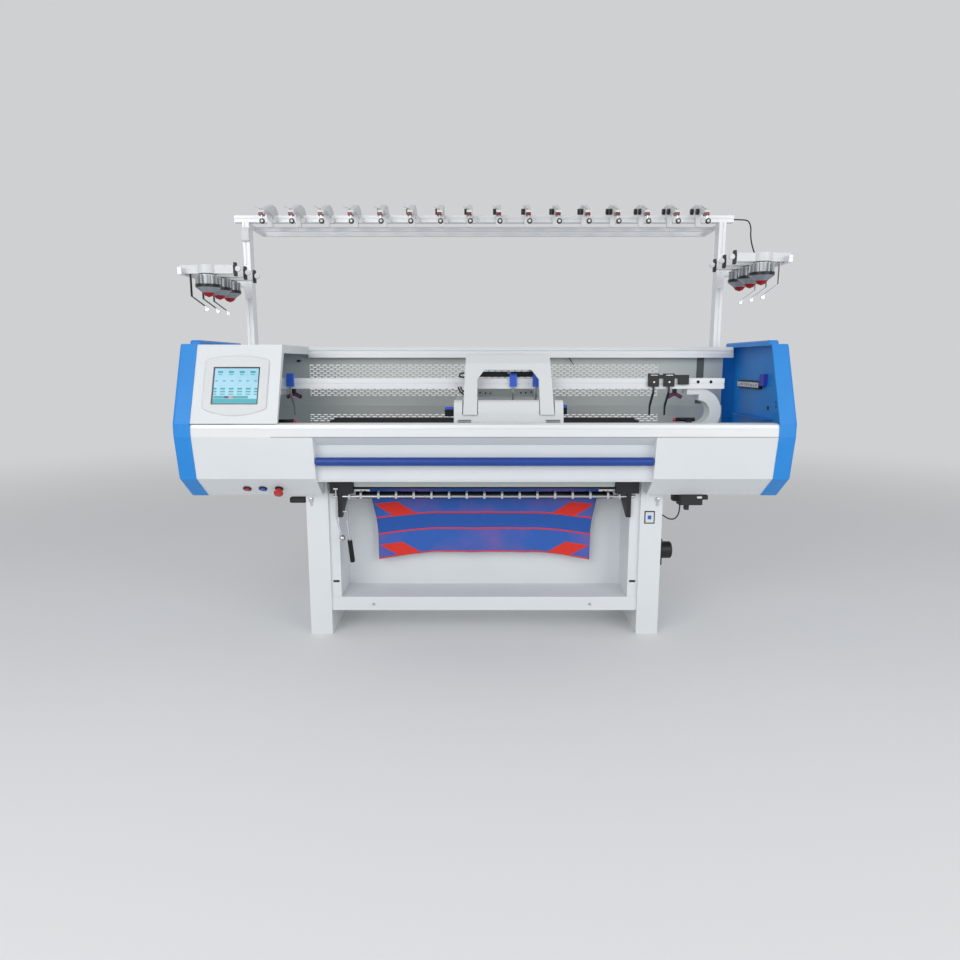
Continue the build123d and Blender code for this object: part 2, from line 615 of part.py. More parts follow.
with BuildPart() as back_cover:
    with BuildSketch(side_plane(-BACK_X)):
        Polygon(*profile([
            (BACK_PANEL_T - LEDGE_T, BACK_LOW), (BACK_PANEL_T - LEDGE_T, LEDGE_H),
            (BACK_PANEL_T, LEDGE_H), (BACK_PANEL_T, TOP_H - STEP),
            (BACK_PANEL_T + SHEET, TOP_H - STEP), (BACK_PANEL_T + SHEET, LEDGE_H - SHEET),
            (BACK_PANEL_T - LEDGE_T + SHEET, LEDGE_H - SHEET),
            (BACK_PANEL_T - LEDGE_T + SHEET, BACK_LOW),
        ]), align=None)
    extrude(amount=2 * BACK_X)
    for row in range(vent_rows):
        shift = VENT_PITCH_X / 4 * (-1 if row % 2 else 1)
        row_h = VENT_LOW + row * VENT_PITCH_Z
        with BuildSketch(front_plane(FRONT + BACK_PANEL_T - SHEET)):
            with Locations((shift, row_h)):
                with GridLocations(VENT_PITCH_X, 1, vent_columns, 1):
                    Rectangle(VENT_SLOT, VENT_SLOT_TALL)
        extrude(amount=-3 * SHEET, mode=Mode.SUBTRACT)
finish(back_cover, "back_cover")

# Rear rail along the top
REAR_RAIL_T = 595.0
REAR_RAIL_TALL = 52.0
with BuildPart() as rear_rail:
    with BuildSketch(side_plane(CONSOLE_X)):
        low = TOP_H - STEP - REAR_RAIL_TALL
        high = TOP_H - STEP
        Polygon(*profile([
            (REAR_RAIL_T, low), (REAR_RAIL_T, low + 22), (REAR_RAIL_T + 4, low + 25),
            (REAR_RAIL_T + 4, low + 32), (REAR_RAIL_T, low + 35), (REAR_RAIL_T + 10, high),
            (BACK_PANEL_T - SEAT, high), (BACK_PANEL_T - SEAT, low),
        ]), align=None)
    extrude(amount=PANEL_X - CONSOLE_X)
finish(rear_rail, "rear_rail")

# Yarn carrier rails over the needle line, on two curved brackets
YARN_RAIL_X = 1096.0
YARN_RAIL_LOW = 1136.0
YARN_RAIL_TALL = 47.0
YARN_RAIL_W = 30.0
YARN_RAIL_T = 300.0
SECOND_RAIL_T = 370.0
RAIL_SLOT = 5.0
BRACKET_X = 985.0
BRACKET_TOE = 55.0
BRACKET_T = 310.0
BRACKET_DEEP = 80.0
BRACKET_WALL = 53.0

with BuildPart() as yarn_rails:
    for start_t in (YARN_RAIL_T, SECOND_RAIL_T):
        with BuildSketch(side_plane(-YARN_RAIL_X)):
            Polygon(*profile([
                (start_t, YARN_RAIL_LOW), (start_t, YARN_RAIL_LOW + 18),
                (start_t + RAIL_SLOT, YARN_RAIL_LOW + 18), (start_t + RAIL_SLOT, YARN_RAIL_LOW + 25),
                (start_t, YARN_RAIL_LOW + 25), (start_t, YARN_RAIL_LOW + YARN_RAIL_TALL),
                (start_t + YARN_RAIL_W, YARN_RAIL_LOW + YARN_RAIL_TALL),
                (start_t + YARN_RAIL_W, YARN_RAIL_LOW),
            ]), align=None)
        extrude(amount=2 * YARN_RAIL_X)
finish(yarn_rails, "yarn_rails")

bracket_r = (YARN_RAIL_LOW - FRAME_CROWN) / 2
with BuildPart() as right_bracket:
    with BuildSketch(front_plane(FRONT + BRACKET_T)):
        with Locations((BRACKET_X, FRAME_CROWN + bracket_r)):
            Circle(bracket_r)
            Circle(bracket_r - BRACKET_WALL, mode=Mode.SUBTRACT)
        with Locations((BRACKET_X - bracket_r, FRAME_CROWN + bracket_r)):
            Rectangle(2 * bracket_r, 2 * bracket_r, mode=Mode.SUBTRACT)
        for toe_h in (FRAME_CROWN + BRACKET_WALL / 4, YARN_RAIL_LOW - BRACKET_WALL / 4):
            with Locations((BRACKET_X - BRACKET_TOE / 2 + 1, toe_h)):
                Rectangle(BRACKET_TOE + 2, BRACKET_WALL / 2)
    extrude(amount=-BRACKET_DEEP)
with BuildPart() as rail_brackets:
    add(right_bracket.part)
    mirror(right_bracket.part, about=Plane.YZ)
finish(rail_brackets, "rail_brackets")

# Yarn grippers under the rear yarn rail, at each end of the beds
GRIPPER_X = 892.0
with BuildPart() as right_gripper:
    with BuildSketch(front_plane(FRONT + SECOND_RAIL_T + 2)):
        with Locations((GRIPPER_X, YARN_RAIL_LOW - 12)):
            Rectangle(16, 24)
        for side in (-1, 1):
            with Locations(Location((GRIPPER_X + side * 17, YARN_RAIL_LOW - 34), -side * 28)):
                Rectangle(36, 16)
    extrude(amount=-22)
with BuildPart() as yarn_grippers:
    add(right_gripper.part)
    mirror(right_gripper.part, about=Plane.YZ)
finish(yarn_grippers, "yarn_grippers")

# Yarn carriers that slide on the front face of the yarn rail
CARRIER_W = 32.0
CARRIER_TOP = 1205.0
CARRIER_T = 285.0
CARRIER_ARM_W = 8.0
TIP_H = 1012.0
TWIN_W = 48.0
TWIN_PITCH = 70.0
HOOK_LAP = 8.0
rail_top = YARN_RAIL_LOW + YARN_RAIL_TALL
head_points = [
    (CARRIER_T, YARN_RAIL_LOW + 10), (CARRIER_T, CARRIER_TOP - 6), (CARRIER_T + 6, CARRIER_TOP),
    (YARN_RAIL_T + HOOK_LAP, CARRIER_TOP), (YARN_RAIL_T + HOOK_LAP, rail_top + SEAT),
    (YARN_RAIL_T - SEAT, rail_top + SEAT), (YARN_RAIL_T - SEAT, YARN_RAIL_LOW + 10),
]
arm_points = [
    (CARRIER_T, YARN_RAIL_LOW + 12), (CARRIER_T, YARN_RAIL_LOW - 18), (BED_T - 5, 1052),
    (BED_T - 2, TIP_H), (BED_T + 2, TIP_H), (BED_T + 2, 1060), (CARRIER_T + 6, YARN_RAIL_LOW - 10),
    (CARRIER_T + 6, YARN_RAIL_LOW + 12),
]


TWIN_X = 770.0
carrier_heads = {
    "yarn_carrier_1": ([-884.0], CARRIER_W), "yarn_carrier_2": ([131.0], CARRIER_W),
    "yarn_carrier_3": ([236.0], CARRIER_W),
    "yarn_carrier_4": ([TWIN_X, TWIN_X + TWIN_PITCH], TWIN_W),
}
for name, (heads, width) in carrier_heads.items():
    with BuildPart() as yarn_carrier:
        for x in heads:
            with BuildSketch(side_plane(x - width / 2)):
                Polygon(*profile(head_points), align=None)
            extrude(amount=width)
            with BuildSketch(side_plane(x - CARRIER_ARM_W / 2)):
                Polygon(*profile(arm_points), align=None)
            extrude(amount=CARRIER_ARM_W)
        if len(heads) == 2:
            with BuildSketch(front_plane(FRONT + CARRIER_T + 2)):
                with Locations((TWIN_X + 80, CARRIER_TOP - 14)):
                    Rectangle(160, 16)
                with Locations((TWIN_X + 136, CARRIER_TOP - 28)):
                    Rectangle(48, 44)
            extrude(amount=-(YARN_RAIL_T - SEAT - CARRIER_T - 2))
    finish(yarn_carrier, name)

# Take-down: side plates, rubber roller, presser shaft with hooks, press roller and levers
PLATE_X = 645.0
FABRIC_THICK = 3.0
ROLLER_R = 25.0
ROLLER_T = BED_T + FABRIC_THICK / 2 + SEAT + ROLLER_R
ROLLER_H = LEG_TOP - 60
ROLLER_HALF = 640.0
PRESS_R = 13.0
PRESS_T = BED_T - FABRIC_THICK / 2 - SEAT - PRESS_R
JOURNAL_R = 6.0
SHAFT_R = 6.0
SHAFT_T = 197.0
SHAFT_H = LEG_TOP - 85
SHAFT_HALF = 684.0
HOOK_PITCH = 80.0
HOOK_COUNT = 15
HOOK_W = 10.0
CRANK_T = 197.0
CRANK_H = LEG_TOP - 156
CRANK_R = 4.0
PLATE_LOW = LEG_TOP - 180
PLATE_HEEL = LEG_TOP - 28
BLOCK_DEEP = 33.0         # bearing block in front of each leg's flange
BLOCK_W = 104.0
BLOCK_TALL = 66.0
block_front_t = FLANGE_T - SEAT - BLOCK_DEEP

with BuildPart() as right_plate:
    with BuildSketch(side_plane(PLATE_X)):
        Polygon(*profile([
            (FRAME_T - 4, LEG_TOP - SEAT), (500, LEG_TOP - SEAT), (500, PLATE_HEEL),
            (206, PLATE_LOW), (FRAME_T - 4, PLATE_LOW),
        ]), align=None)
    extrude(amount=FLANGE_X - SEAT - PLATE_X)
    with BuildSketch(front_plane(FRONT + block_front_t)):
        with Locations((PLATE_X, LEG_TOP - 2 - BLOCK_TALL / 2)):
            Rectangle(BLOCK_W, BLOCK_TALL)
    extrude(amount=-BLOCK_DEEP)
    with BuildSketch(side_plane(PLATE_X - 80)):
        with Locations((FRONT + ROLLER_T, ROLLER_H)):
            Circle(JOURNAL_R + RUN)
        with Locations((FRONT + SHAFT_T, SHAFT_H)):
            Circle(SHAFT_R + RUN)
        with Locations((FRONT + CRANK_T, CRANK_H)):
            Circle(CRANK_R + RUN)
    extrude(amount=160, mode=Mode.SUBTRACT)
with BuildPart() as take_down_plates:
    add(right_plate.part)
    mirror(right_plate.part, about=Plane.YZ)
finish(take_down_plates, "take_down_plates")

with BuildPart() as take_down_roller:
    for radius, half in ((ROLLER_R, ROLLER_HALF), (JOURNAL_R, FLANGE_X - 2)):
        with BuildSketch(side_plane(-half)):
            with Locations((FRONT + ROLLER_T, ROLLER_H)):
                Circle(radius)
        extrude(amount=2 * half)
finish(take_down_roller, "take_down_roller")

PRESS_HALF = 600.0
PRESS_PIN = 5.0
with BuildPart() as press_roller:
    for radius, half in ((PRESS_R, PRESS_HALF), (PRESS_PIN, PRESS_HALF + 24)):
        with BuildSketch(side_plane(-half)):
            with Locations((FRONT + PRESS_T, ROLLER_H)):
                Circle(radius)
        extrude(amount=2 * half)
finish(press_roller, "press_roller")

HOOK_TIP_T = 312.0
ARM_X = 612.0
with BuildPart() as presser_hooks:
    with BuildSketch(side_plane(-SHAFT_HALF)):
        with Locations((FRONT + SHAFT_T, SHAFT_H)):
            Circle(SHAFT_R)
    extrude(amount=2 * SHAFT_HALF)
    for index in range(HOOK_COUNT):
        x = (index - (HOOK_COUNT - 1) / 2) * HOOK_PITCH
        with BuildSketch(side_plane(x - HOOK_W / 2)):
            Polygon(*profile([
                (SHAFT_T - 9, SHAFT_H - 9), (SHAFT_T - 9, SHAFT_H + 14), (SHAFT_T + 4, SHAFT_H + 26),
                (SHAFT_T + 10, SHAFT_H + 6), (HOOK_TIP_T, ROLLER_H - 20),
                (HOOK_TIP_T, ROLLER_H - 28), (SHAFT_T + 10, SHAFT_H - 9),
            ]), align=None)
        extrude(amount=HOOK_W)
    for side in (-1, 1):
        with BuildSketch(side_plane(side * ARM_X - 4)):
            Polygon(*profile([
                (SHAFT_T - 8, SHAFT_H - 10), (SHAFT_T - 8, SHAFT_H + 10),
                (PRESS_T - 10, ROLLER_H + 11), (PRESS_T + 9, ROLLER_H + 11),
                (PRESS_T + 9, ROLLER_H - 10), (SHAFT_T + 10, SHAFT_H - 10),
            ]), align=None)
            with Locations((FRONT + PRESS_T, ROLLER_H)):
                Circle(PRESS_PIN + RUN, mode=Mode.SUBTRACT)
        extrude(amount=8)
finish(presser_hooks, "presser_hooks")

LEVER_R = 4.0
crank_route = [
    (-PLATE_X - 16, FRONT + CRANK_T, CRANK_H), (-PLATE_X + 24, FRONT + CRANK_T, CRANK_H),
    (-PLATE_X + 24, FRONT + CRANK_T - 28, CRANK_H - 40),
    (-PLATE_X + 34, FRONT + CRANK_T - 32, CRANK_H - 128),
]
with BuildPart() as release_lever:
    with BuildLine() as crank_line:
        FilletPolyline(*crank_route, radius=11)
    with BuildSketch(Plane(origin=crank_line.line @ 0, z_dir=crank_line.line % 0)):
        Circle(LEVER_R)
    sweep()
    grip_axis = Vector(*crank_route[3]) - Vector(*crank_route[2])
    with BuildSketch(Plane(origin=Vector(*crank_route[3]) - grip_axis.normalized() * 4,
                           z_dir=grip_axis)):
        Circle(11)
    extrude(amount=104)
    chamfer(release_lever.edges().filter_by(GeomType.CIRCLE).group_by(Axis.Z)[0], length=3)
finish(release_lever, "release_lever")

BALL_X = -668.0
BALL_T = 168.0
BALL_TOP = LEG_TOP - 45
BALL_BEND = LEG_TOP - 180
BALL_LOW = LEG_TOP - 270
BALL_R = 14.0
BALL_HUB_W = 20.0
ball_hub_r = block_front_t - SEAT - BALL_T
with BuildPart() as ball_lever:
    with BuildLine() as ball_line:
        FilletPolyline(
            (BALL_X, FRONT + BALL_T, BALL_TOP), (BALL_X, FRONT + BALL_T, BALL_BEND),
            (BALL_X + 24, FRONT + BALL_T - 8, BALL_LOW), radius=40)
    with BuildSketch(Plane(origin=ball_line.line @ 0, z_dir=ball_line.line % 0)):
        Circle(3.5)
    sweep()
    with BuildSketch(side_plane(BALL_X - BALL_HUB_W / 2)):
        with Locations((FRONT + BALL_T, BALL_TOP)):
            Circle(ball_hub_r)
    extrude(amount=BALL_HUB_W)
    with Locations((BALL_X + 24, FRONT + BALL_T - 8, BALL_LOW)):
        Sphere(BALL_R)
finish(ball_lever, "ball_lever")

# Knitted fabric hanging between the rollers, wide at the top and drawn in below
FABRIC_TOP = 985.0
FABRIC_WIDE = 550.0
FABRIC_NARROW = 510.0
FABRIC_WAIST = ROLLER_H - 170
FABRIC_LOW = ROLLER_H - 368
FABRIC_ARCH = FABRIC_LOW + 33
with BuildPart() as fabric:
    with BuildSketch(front_plane(FRONT + BED_T - FABRIC_THICK / 2)):
        with BuildLine():
            Line((-FABRIC_WIDE, FABRIC_TOP), (FABRIC_WIDE, FABRIC_TOP))
            Line((FABRIC_WIDE, FABRIC_TOP), (FABRIC_WIDE, ROLLER_H))
            ThreePointArc((FABRIC_WIDE, ROLLER_H), (FABRIC_NARROW + 12, FABRIC_WAIST),
                          (FABRIC_NARROW, FABRIC_LOW))
            ThreePointArc((FABRIC_NARROW, FABRIC_LOW), (0, FABRIC_ARCH),
                          (-FABRIC_NARROW, FABRIC_LOW))
            ThreePointArc((-FABRIC_NARROW, FABRIC_LOW), (-FABRIC_NARROW - 12, FABRIC_WAIST),
                          (-FABRIC_WIDE, ROLLER_H))
            Line((-FABRIC_WIDE, ROLLER_H), (-FABRIC_WIDE, FABRIC_TOP))
        make_face()
    extrude(amount=-FABRIC_THICK)
finish(fabric, "fabric")

# Take-down motor on the outside of the right leg
with BuildPart() as take_down_motor:
    with BuildSketch(side_plane(LEG_OUT_X)):
        with Locations((FRONT + 300, 378)):
            Rectangle(96, 122)
    extrude(amount=22)
    with BuildSketch(side_plane(LEG_OUT_X + 22)):
        with Locations((FRONT + 300, 378)):
            Circle(40)
    extrude(amount=52)
    chamfer(take_down_motor.faces().sort_by(Axis.X)[-1].edges(), length=5)
finish(take_down_motor, "take_down_motor")

# Posts, top beam and the two yarn guide bars behind it
POST_X = 1163.5
POST_W = 33.0
POST_T = 643.3
POST_DEEP = 60.0
POST_LOW = 760.0
BEAM_X = 1220.0
BEAM_TALL = 32.0
BEAM_T = 655.0
BEAM_DEEP = 40.0
GUIDE_X = 1150.0
GUIDE_H = 1908.0
GUIDE_W = 20.0
GUIDE_FIRST_T = 765.0
GUIDE_ARM = 12.0
beam_low = BEAM_TOP - BEAM_TALL
groove = 4.0

with BuildPart() as posts:
    with BuildSketch(Plane.XY.offset(POST_LOW)):
        for side in (-1, 1):
            with Locations((side * POST_X, FRONT + POST_T + POST_DEEP / 2)):
                Rectangle(POST_W, POST_DEEP)
                with Locations((0, -POST_DEEP / 2), (0, POST_DEEP / 2)):
                    Rectangle(2 * groove, 2 * groove, mode=Mode.SUBTRACT)
    extrude(amount=beam_low - POST_LOW)
finish(posts, "posts")

with BuildPart() as top_beam:
    with BuildSketch(side_plane(-BEAM_X)):
        with Locations((FRONT + BEAM_T + BEAM_DEEP / 2, BEAM_TOP - BEAM_TALL / 2)):
            Rectangle(BEAM_DEEP, BEAM_TALL)
            with Locations((-BEAM_DEEP / 2, 0)):
                Rectangle(2 * groove, 2 * groove, mode=Mode.SUBTRACT)
    extrude(amount=2 * BEAM_X)
finish(top_beam, "top_beam")

with BuildPart() as guide_bars:
    for start in (FRONT + GUIDE_FIRST_T, BACK - GUIDE_W):
        with BuildSketch(side_plane(-GUIDE_X)):
            with Locations((start + GUIDE_W / 2, GUIDE_H + GUIDE_W / 2)):
                Rectangle(GUIDE_W, GUIDE_W)
        extrude(amount=2 * GUIDE_X)
    for side in (-1, 1):
        with BuildSketch(Plane.XY.offset(GUIDE_H)):
            with Locations((side * (GUIDE_X + GUIDE_ARM / 2), (BACK + FRONT + POST_T + POST_DEEP) / 2)):
                Rectangle(GUIDE_ARM, BACK - FRONT - POST_T - POST_DEEP)
        extrude(amount=GUIDE_W)
finish(guide_bars, "guide_bars")

# Yarn tensioners along the beam
TENSIONER_COUNT = 16
TENSIONER_PITCH = 138.8
TENSIONER_W = 25.0
KNOB_R = 14.0
KNOB_W = 13.0
KNOB_SIDES = 10
tensioner_x = [
    (index - (TENSIONER_COUNT - 1) / 2) * TENSIONER_PITCH for index in range(TENSIONER_COUNT)
]
seat_h = BEAM_TOP + SEAT
tensioner_points = [
    (500, 1938), (560, seat_h), (750, seat_h), (750, 1985), (712, 2010), (650, 2010), (500, 1955),
]
with BuildPart() as tensioner_housings:
    for x in tensioner_x:
        with BuildSketch(side_plane(x - TENSIONER_W / 2)):
            Polygon(*profile(tensioner_points), align=None)
            with Locations((FRONT + BEAM_T - SEAT - 8, 1935)):
                Rectangle(16, 60)
        extrude(amount=TENSIONER_W)
finish(tensioner_housings, "tensioner_housings")

with BuildPart() as tensioner_knobs:
    for x in tensioner_x:
        with BuildSketch(side_plane(x - TENSIONER_W / 2)):
            with Locations((FRONT + 596, 1967), (FRONT + 690, 1986)):
                RegularPolygon(KNOB_R, KNOB_SIDES)
        extrude(amount=-KNOB_W)
finish(tensioner_knobs, "tensioner_knobs")

# Yarn feeders: three on each side, on a bar that a cross arm ties to the post
FEEDER_T = (200.0, 330.0, 460.0)
FEEDER_X = 1195.0
FEEDER_IN = 1080.0
FEEDER_W = 28.0
FEEDER_TALL = 36.0
FEEDER_BULGE = 38.0
FEEDER_LEVEL = {"left": 1631.0, "right": 1681.0}
SIDE_SIGN = {"left": -1, "right": 1}
BAR_X = 1296.0
BAR_W = 16.0
BAR_TALL = 29.0
BAR_DROP = 7.0
DRUM_R = 38.0
RIB_R = 51.0
RIB_COUNT = 14
RIB_W = 6.0
DRUM_LOW = -45.0          # lower end of the ribbed core, from the housing
DRUM_TOP_GAP = 4.0
DRUM_SHAFT_R = 6.0

with BuildPart() as feeder_mounts:
    for side, level in FEEDER_LEVEL.items():
        sign = SIDE_SIGN[side]
        post_side = POST_X + POST_W / 2
        with BuildSketch(front_plane(FRONT + FEEDER_T[0] - 50)):
            with Locations((sign * BAR_X, level - BAR_DROP + BAR_TALL / 2)):
                Rectangle(BAR_W, BAR_TALL)
        extrude(amount=-(POST_T + 40 - FEEDER_T[0] + 50))
        with BuildSketch(side_plane(sign * post_side)):
            with Locations((FRONT + POST_T + 30, level - BAR_DROP + BAR_TALL / 2)):
                Rectangle(20, BAR_TALL)
        extrude(amount=sign * (BAR_X - post_side))
        with BuildSketch(front_plane(FRONT + POST_T - 5)):
            with Locations((sign * POST_X, level - 30)):
                Rectangle(POST_W + 4, 74)
            with Locations((sign * (POST_X + 30), level + 2)):
                Rectangle(60, 12)
        extrude(amount=-5)
        with BuildSketch(front_plane(FRONT + POST_T - 5)):
            with Locations((sign * (post_side + 14), level + 1)):
                Rectangle(26, 14)
        extrude(amount=-34)
finish(feeder_mounts, "feeder_mounts")

with BuildPart() as feeder_housings:
    for side, level in FEEDER_LEVEL.items():
        sign = SIDE_SIGN[side]
        for t in FEEDER_T:
            with BuildSketch(Plane.XY.offset(level)):
                with Locations((sign * (FEEDER_IN + COVER_X - 1) / 2, FRONT + t)):
                    Rectangle(COVER_X - 1 - FEEDER_IN, FEEDER_W)
                with Locations((sign * FEEDER_X, FRONT + t)):
                    Circle(FEEDER_BULGE)
            extrude(amount=FEEDER_TALL)
            with BuildSketch(Plane.XY.offset(level)):
                with Locations((sign * FEEDER_X, FRONT + t)):
                    Circle(DRUM_SHAFT_R + RUN)
            extrude(amount=FEEDER_TALL - 10, mode=Mode.SUBTRACT)
            with BuildSketch(Plane.XY.offset(level)):
                with Locations((sign * BAR_X, FRONT + t)):
                    Rectangle(BAR_W + 2 * SEAT, 4 * FEEDER_W)
            extrude(amount=BAR_TALL - BAR_DROP + SEAT, mode=Mode.SUBTRACT)
finish(feeder_housings, "feeder_housings")

for side, level in FEEDER_LEVEL.items():
    for number, t in enumerate(FEEDER_T, start=1):
        drum_x = SIDE_SIGN[side] * FEEDER_X
        with BuildPart() as feeder_drum:
            with BuildSketch(Plane(origin=(drum_x, FRONT + t, level), x_dir=(1, 0, 0),
                                   z_dir=(0, -1, 0))):
                with BuildLine():
                    Polyline((0, 22), (DRUM_SHAFT_R, 22), (DRUM_SHAFT_R, DRUM_LOW),
                             (RIB_R + 2, DRUM_LOW), (RIB_R + 1, -58), (28, -77),
                             (16, -92), (0, -98), close=True)
                make_face()
            revolve(axis=Axis((drum_x, FRONT + t, level), (0, 0, 1)))
            with BuildSketch(Plane.XY.offset(level + DRUM_LOW - 1)):
                with Locations((drum_x, FRONT + t)):
                    RegularPolygon(DRUM_R, RIB_COUNT)
            extrude(amount=1 - DRUM_LOW - DRUM_TOP_GAP)
            with BuildSketch(Plane.XY.offset(level + DRUM_LOW - 1)):
                with Locations((drum_x, FRONT + t)):
                    with PolarLocations((RIB_R + DRUM_R - 4) / 2, RIB_COUNT):
                        Rectangle(RIB_R - DRUM_R + 4, RIB_W)
            extrude(amount=39)
        finish(feeder_drum, f"feeder_drum_{side}_{number}")

ARM_STRIP_X = 1268.0
STRIP_T = 3.0
STRIP_W = 16.0
WHEEL_X = 1205.0
WHEEL_DROP = 148.0
with BuildPart() as feeder_arms:
    for side, level in FEEDER_LEVEL.items():
        sign = SIDE_SIGN[side]
        for t in FEEDER_T:
            with BuildSketch(front_plane(FRONT + t - STRIP_W / 2)):
                with BuildLine():
                    Polyline((sign * ARM_STRIP_X, level), (sign * (ARM_STRIP_X + STRIP_T), level),
                             (sign * (ARM_STRIP_X + STRIP_T), level - 94),
                             (sign * WHEEL_X, level - WHEEL_DROP + 4),
                             (sign * WHEEL_X, level - WHEEL_DROP + 8),
                             (sign * ARM_STRIP_X, level - 92), close=True)
                make_face()
            extrude(amount=-STRIP_W)
            with BuildSketch(front_plane(FRONT + t - 4)):
                with Locations((sign * WHEEL_X, level - WHEEL_DROP)):
                    Circle(8)
            extrude(amount=-8)
finish(feeder_arms, "feeder_arms")

# Junction box under the right cover and the two free cables
BOX_X = 925.0
with BuildPart() as control_box:
    with BuildSketch(Plane.XY.offset(SKIRT_H + STEP - SEAT)):
        with Locations((BOX_X, FRONT + 178)):
            Rectangle(106, 60)
    extrude(amount=-48)
    chamfer(control_box.edges().filter_by(Axis.Z), length=8)
finish(control_box, "control_box")

CABLE_R = 3.0


def arc_radii(points):
    """Bend radii at the inner points, 0.45 of the shorter run over tan of half the turn."""
    radii = []
    for before, here, after in zip(points, points[1:], points[2:]):
        first = Vector(*here) - Vector(*before)
        second = Vector(*after) - Vector(*here)
        turn = radians(first.get_angle(second))
        radii.append(0.45 * min(first.length, second.length) / tan(turn / 2))
    return radii


BEAM_CABLE = [
    (1220, FRONT + 675, 1946), (1262, FRONT + 675, 1946), (1275, FRONT + 610, 1930),
    (1254, FRONT + 515, 1880), (1222, FRONT + 430, 1826), (1203, FRONT + 350, 1768),
    (1195, FRONT + 288, 1722), (1194, FRONT + 239.5, 1702),
]
HANGING_CABLE = [
    (884, FRONT + 180, 623.7), (884, FRONT + 180, 596), (880, FRONT + 190, 566),
    (868, FRONT + 208, 546), (849, FRONT + 228, 543), (829, FRONT + 243, 556),
    (812, FRONT + 248, 562),
]
for name, route in (("beam_cable", BEAM_CABLE), ("hanging_cable", HANGING_CABLE)):
    radii = arc_radii(route)
    print(name, "bend radii", [round(radius, 1) for radius in radii])
    with BuildPart() as cable:
        with BuildLine() as cable_line:
            FilletPolyline(*route, radius=radii)
        with BuildSketch(Plane(origin=cable_line.line @ 0, z_dir=cable_line.line % 0)):
            Circle(CABLE_R)
        sweep()
    print(name, "length", round(sum(edge.length for edge in cable_line.edges()), 1))
    finish(cable, name)
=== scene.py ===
from math import cos, pi, radians, sin

import bpy
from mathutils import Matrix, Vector


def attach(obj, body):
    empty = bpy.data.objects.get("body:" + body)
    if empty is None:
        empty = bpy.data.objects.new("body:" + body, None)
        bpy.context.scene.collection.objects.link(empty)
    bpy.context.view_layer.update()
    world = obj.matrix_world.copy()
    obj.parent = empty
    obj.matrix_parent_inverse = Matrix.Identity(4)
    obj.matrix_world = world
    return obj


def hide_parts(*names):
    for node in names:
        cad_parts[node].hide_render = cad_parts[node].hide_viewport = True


# Flat knitting machine: finishes, trim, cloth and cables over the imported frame, in metres.
# X runs along the needle beds, Y to the back, Z up, the floor at Z 0.
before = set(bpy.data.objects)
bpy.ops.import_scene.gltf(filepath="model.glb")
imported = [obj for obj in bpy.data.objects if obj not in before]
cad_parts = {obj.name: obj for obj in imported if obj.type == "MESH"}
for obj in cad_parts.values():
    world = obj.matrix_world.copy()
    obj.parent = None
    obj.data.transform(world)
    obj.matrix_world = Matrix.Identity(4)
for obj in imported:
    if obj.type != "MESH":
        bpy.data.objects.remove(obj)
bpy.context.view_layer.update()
MACHINE = "machine_frame"
FRONT = -0.465            # nose of the covers
NEEDLE_Y = FRONT + 0.350  # needle line
SIDES = ((-1, "left"), (1, "right"))
FEEDER_LEVELS = (1.631, 1.681)  # undersides of the left and right feeder housings


# Colours and nodes


def linear(code):
    """An sRGB hex colour as linear red, green, blue and alpha."""
    parts = [int(code[i:i + 2], 16) / 255 for i in (1, 3, 5)]
    return [p / 12.92 if p <= 0.04045 else ((p + 0.055) / 1.055) ** 2.4 for p in parts] + [1.0]


def add(tree, kind, values=None, links=None, **settings):
    """A node with its settings, its socket values and what feeds its sockets."""
    node = tree.nodes.new(kind)
    for name, value in settings.items():
        setattr(node, name, value)
    for name, value in (values or {}).items():
        node.inputs[name].default_value = value
    for name, socket in (links or {}).items():
        tree.links.new(socket, node.inputs[name])
    return node


def start(name, colour, roughness, **sockets):
    """A material with its shader, its tree and its Object coordinates."""
    made = bpy.data.materials.new(name)
    made.use_nodes = True
    tree = made.node_tree
    shader = tree.nodes["Principled BSDF"]
    shader.inputs["Base Color"].default_value = linear(colour)
    shader.inputs["Roughness"].default_value = roughness
    for socket, value in sockets.items():
        shader.inputs[socket.replace("_", " ")].default_value = value
    place = add(tree, "ShaderNodeTexCoord").outputs["Object"]
    return made, tree, shader, place


def grain(tree, place, size_mm, stretch=(1, 1, 1), detail=3):
    """Noise whose grain is about size_mm across, longer along an axis where stretch is below 1."""
    mapped = add(tree, "ShaderNodeMapping", {"Scale": stretch}, {"Vector": place})
    return add(tree, "ShaderNodeTexNoise", {"Scale": 1000 / size_mm, "Detail": detail},
               {"Vector": mapped.outputs[0]}).outputs["Fac"]


def relief(tree, shader, height, depth_mm, strength=0.4):
    """Bump that stands depth_mm proud."""
    bump = add(tree, "ShaderNodeBump", {"Strength": strength, "Distance": depth_mm / 1000},
               {"Height": height})
    tree.links.new(bump.outputs[0], shader.inputs["Normal"])


def vary(tree, shader, socket, fac, low, high):
    """A socket that follows a pattern between two values."""
    ranged = add(tree, "ShaderNodeMapRange", {"To Min": low, "To Max": high}, {"Value": fac})
    tree.links.new(ranged.outputs[0], shader.inputs[socket])


def tint(tree, fac, low, high):
    """A colour that goes from one hex value to another with a pattern."""
    mix = add(tree, "ShaderNodeMix", data_type="RGBA")
    mix.inputs[6].default_value = linear(low)
    mix.inputs[7].default_value = linear(high)
    tree.links.new(fac, mix.inputs[0])
    return mix.outputs[2]


def above(tree, place, axis, level):
    """1 where the axis of the place is over level."""
    parts = add(tree, "ShaderNodeSeparateXYZ", links={0: place})
    return add(tree, "ShaderNodeMath", {1: level}, {0: parts.outputs[axis]},
               operation="GREATER_THAN").outputs[0]


# Finishes


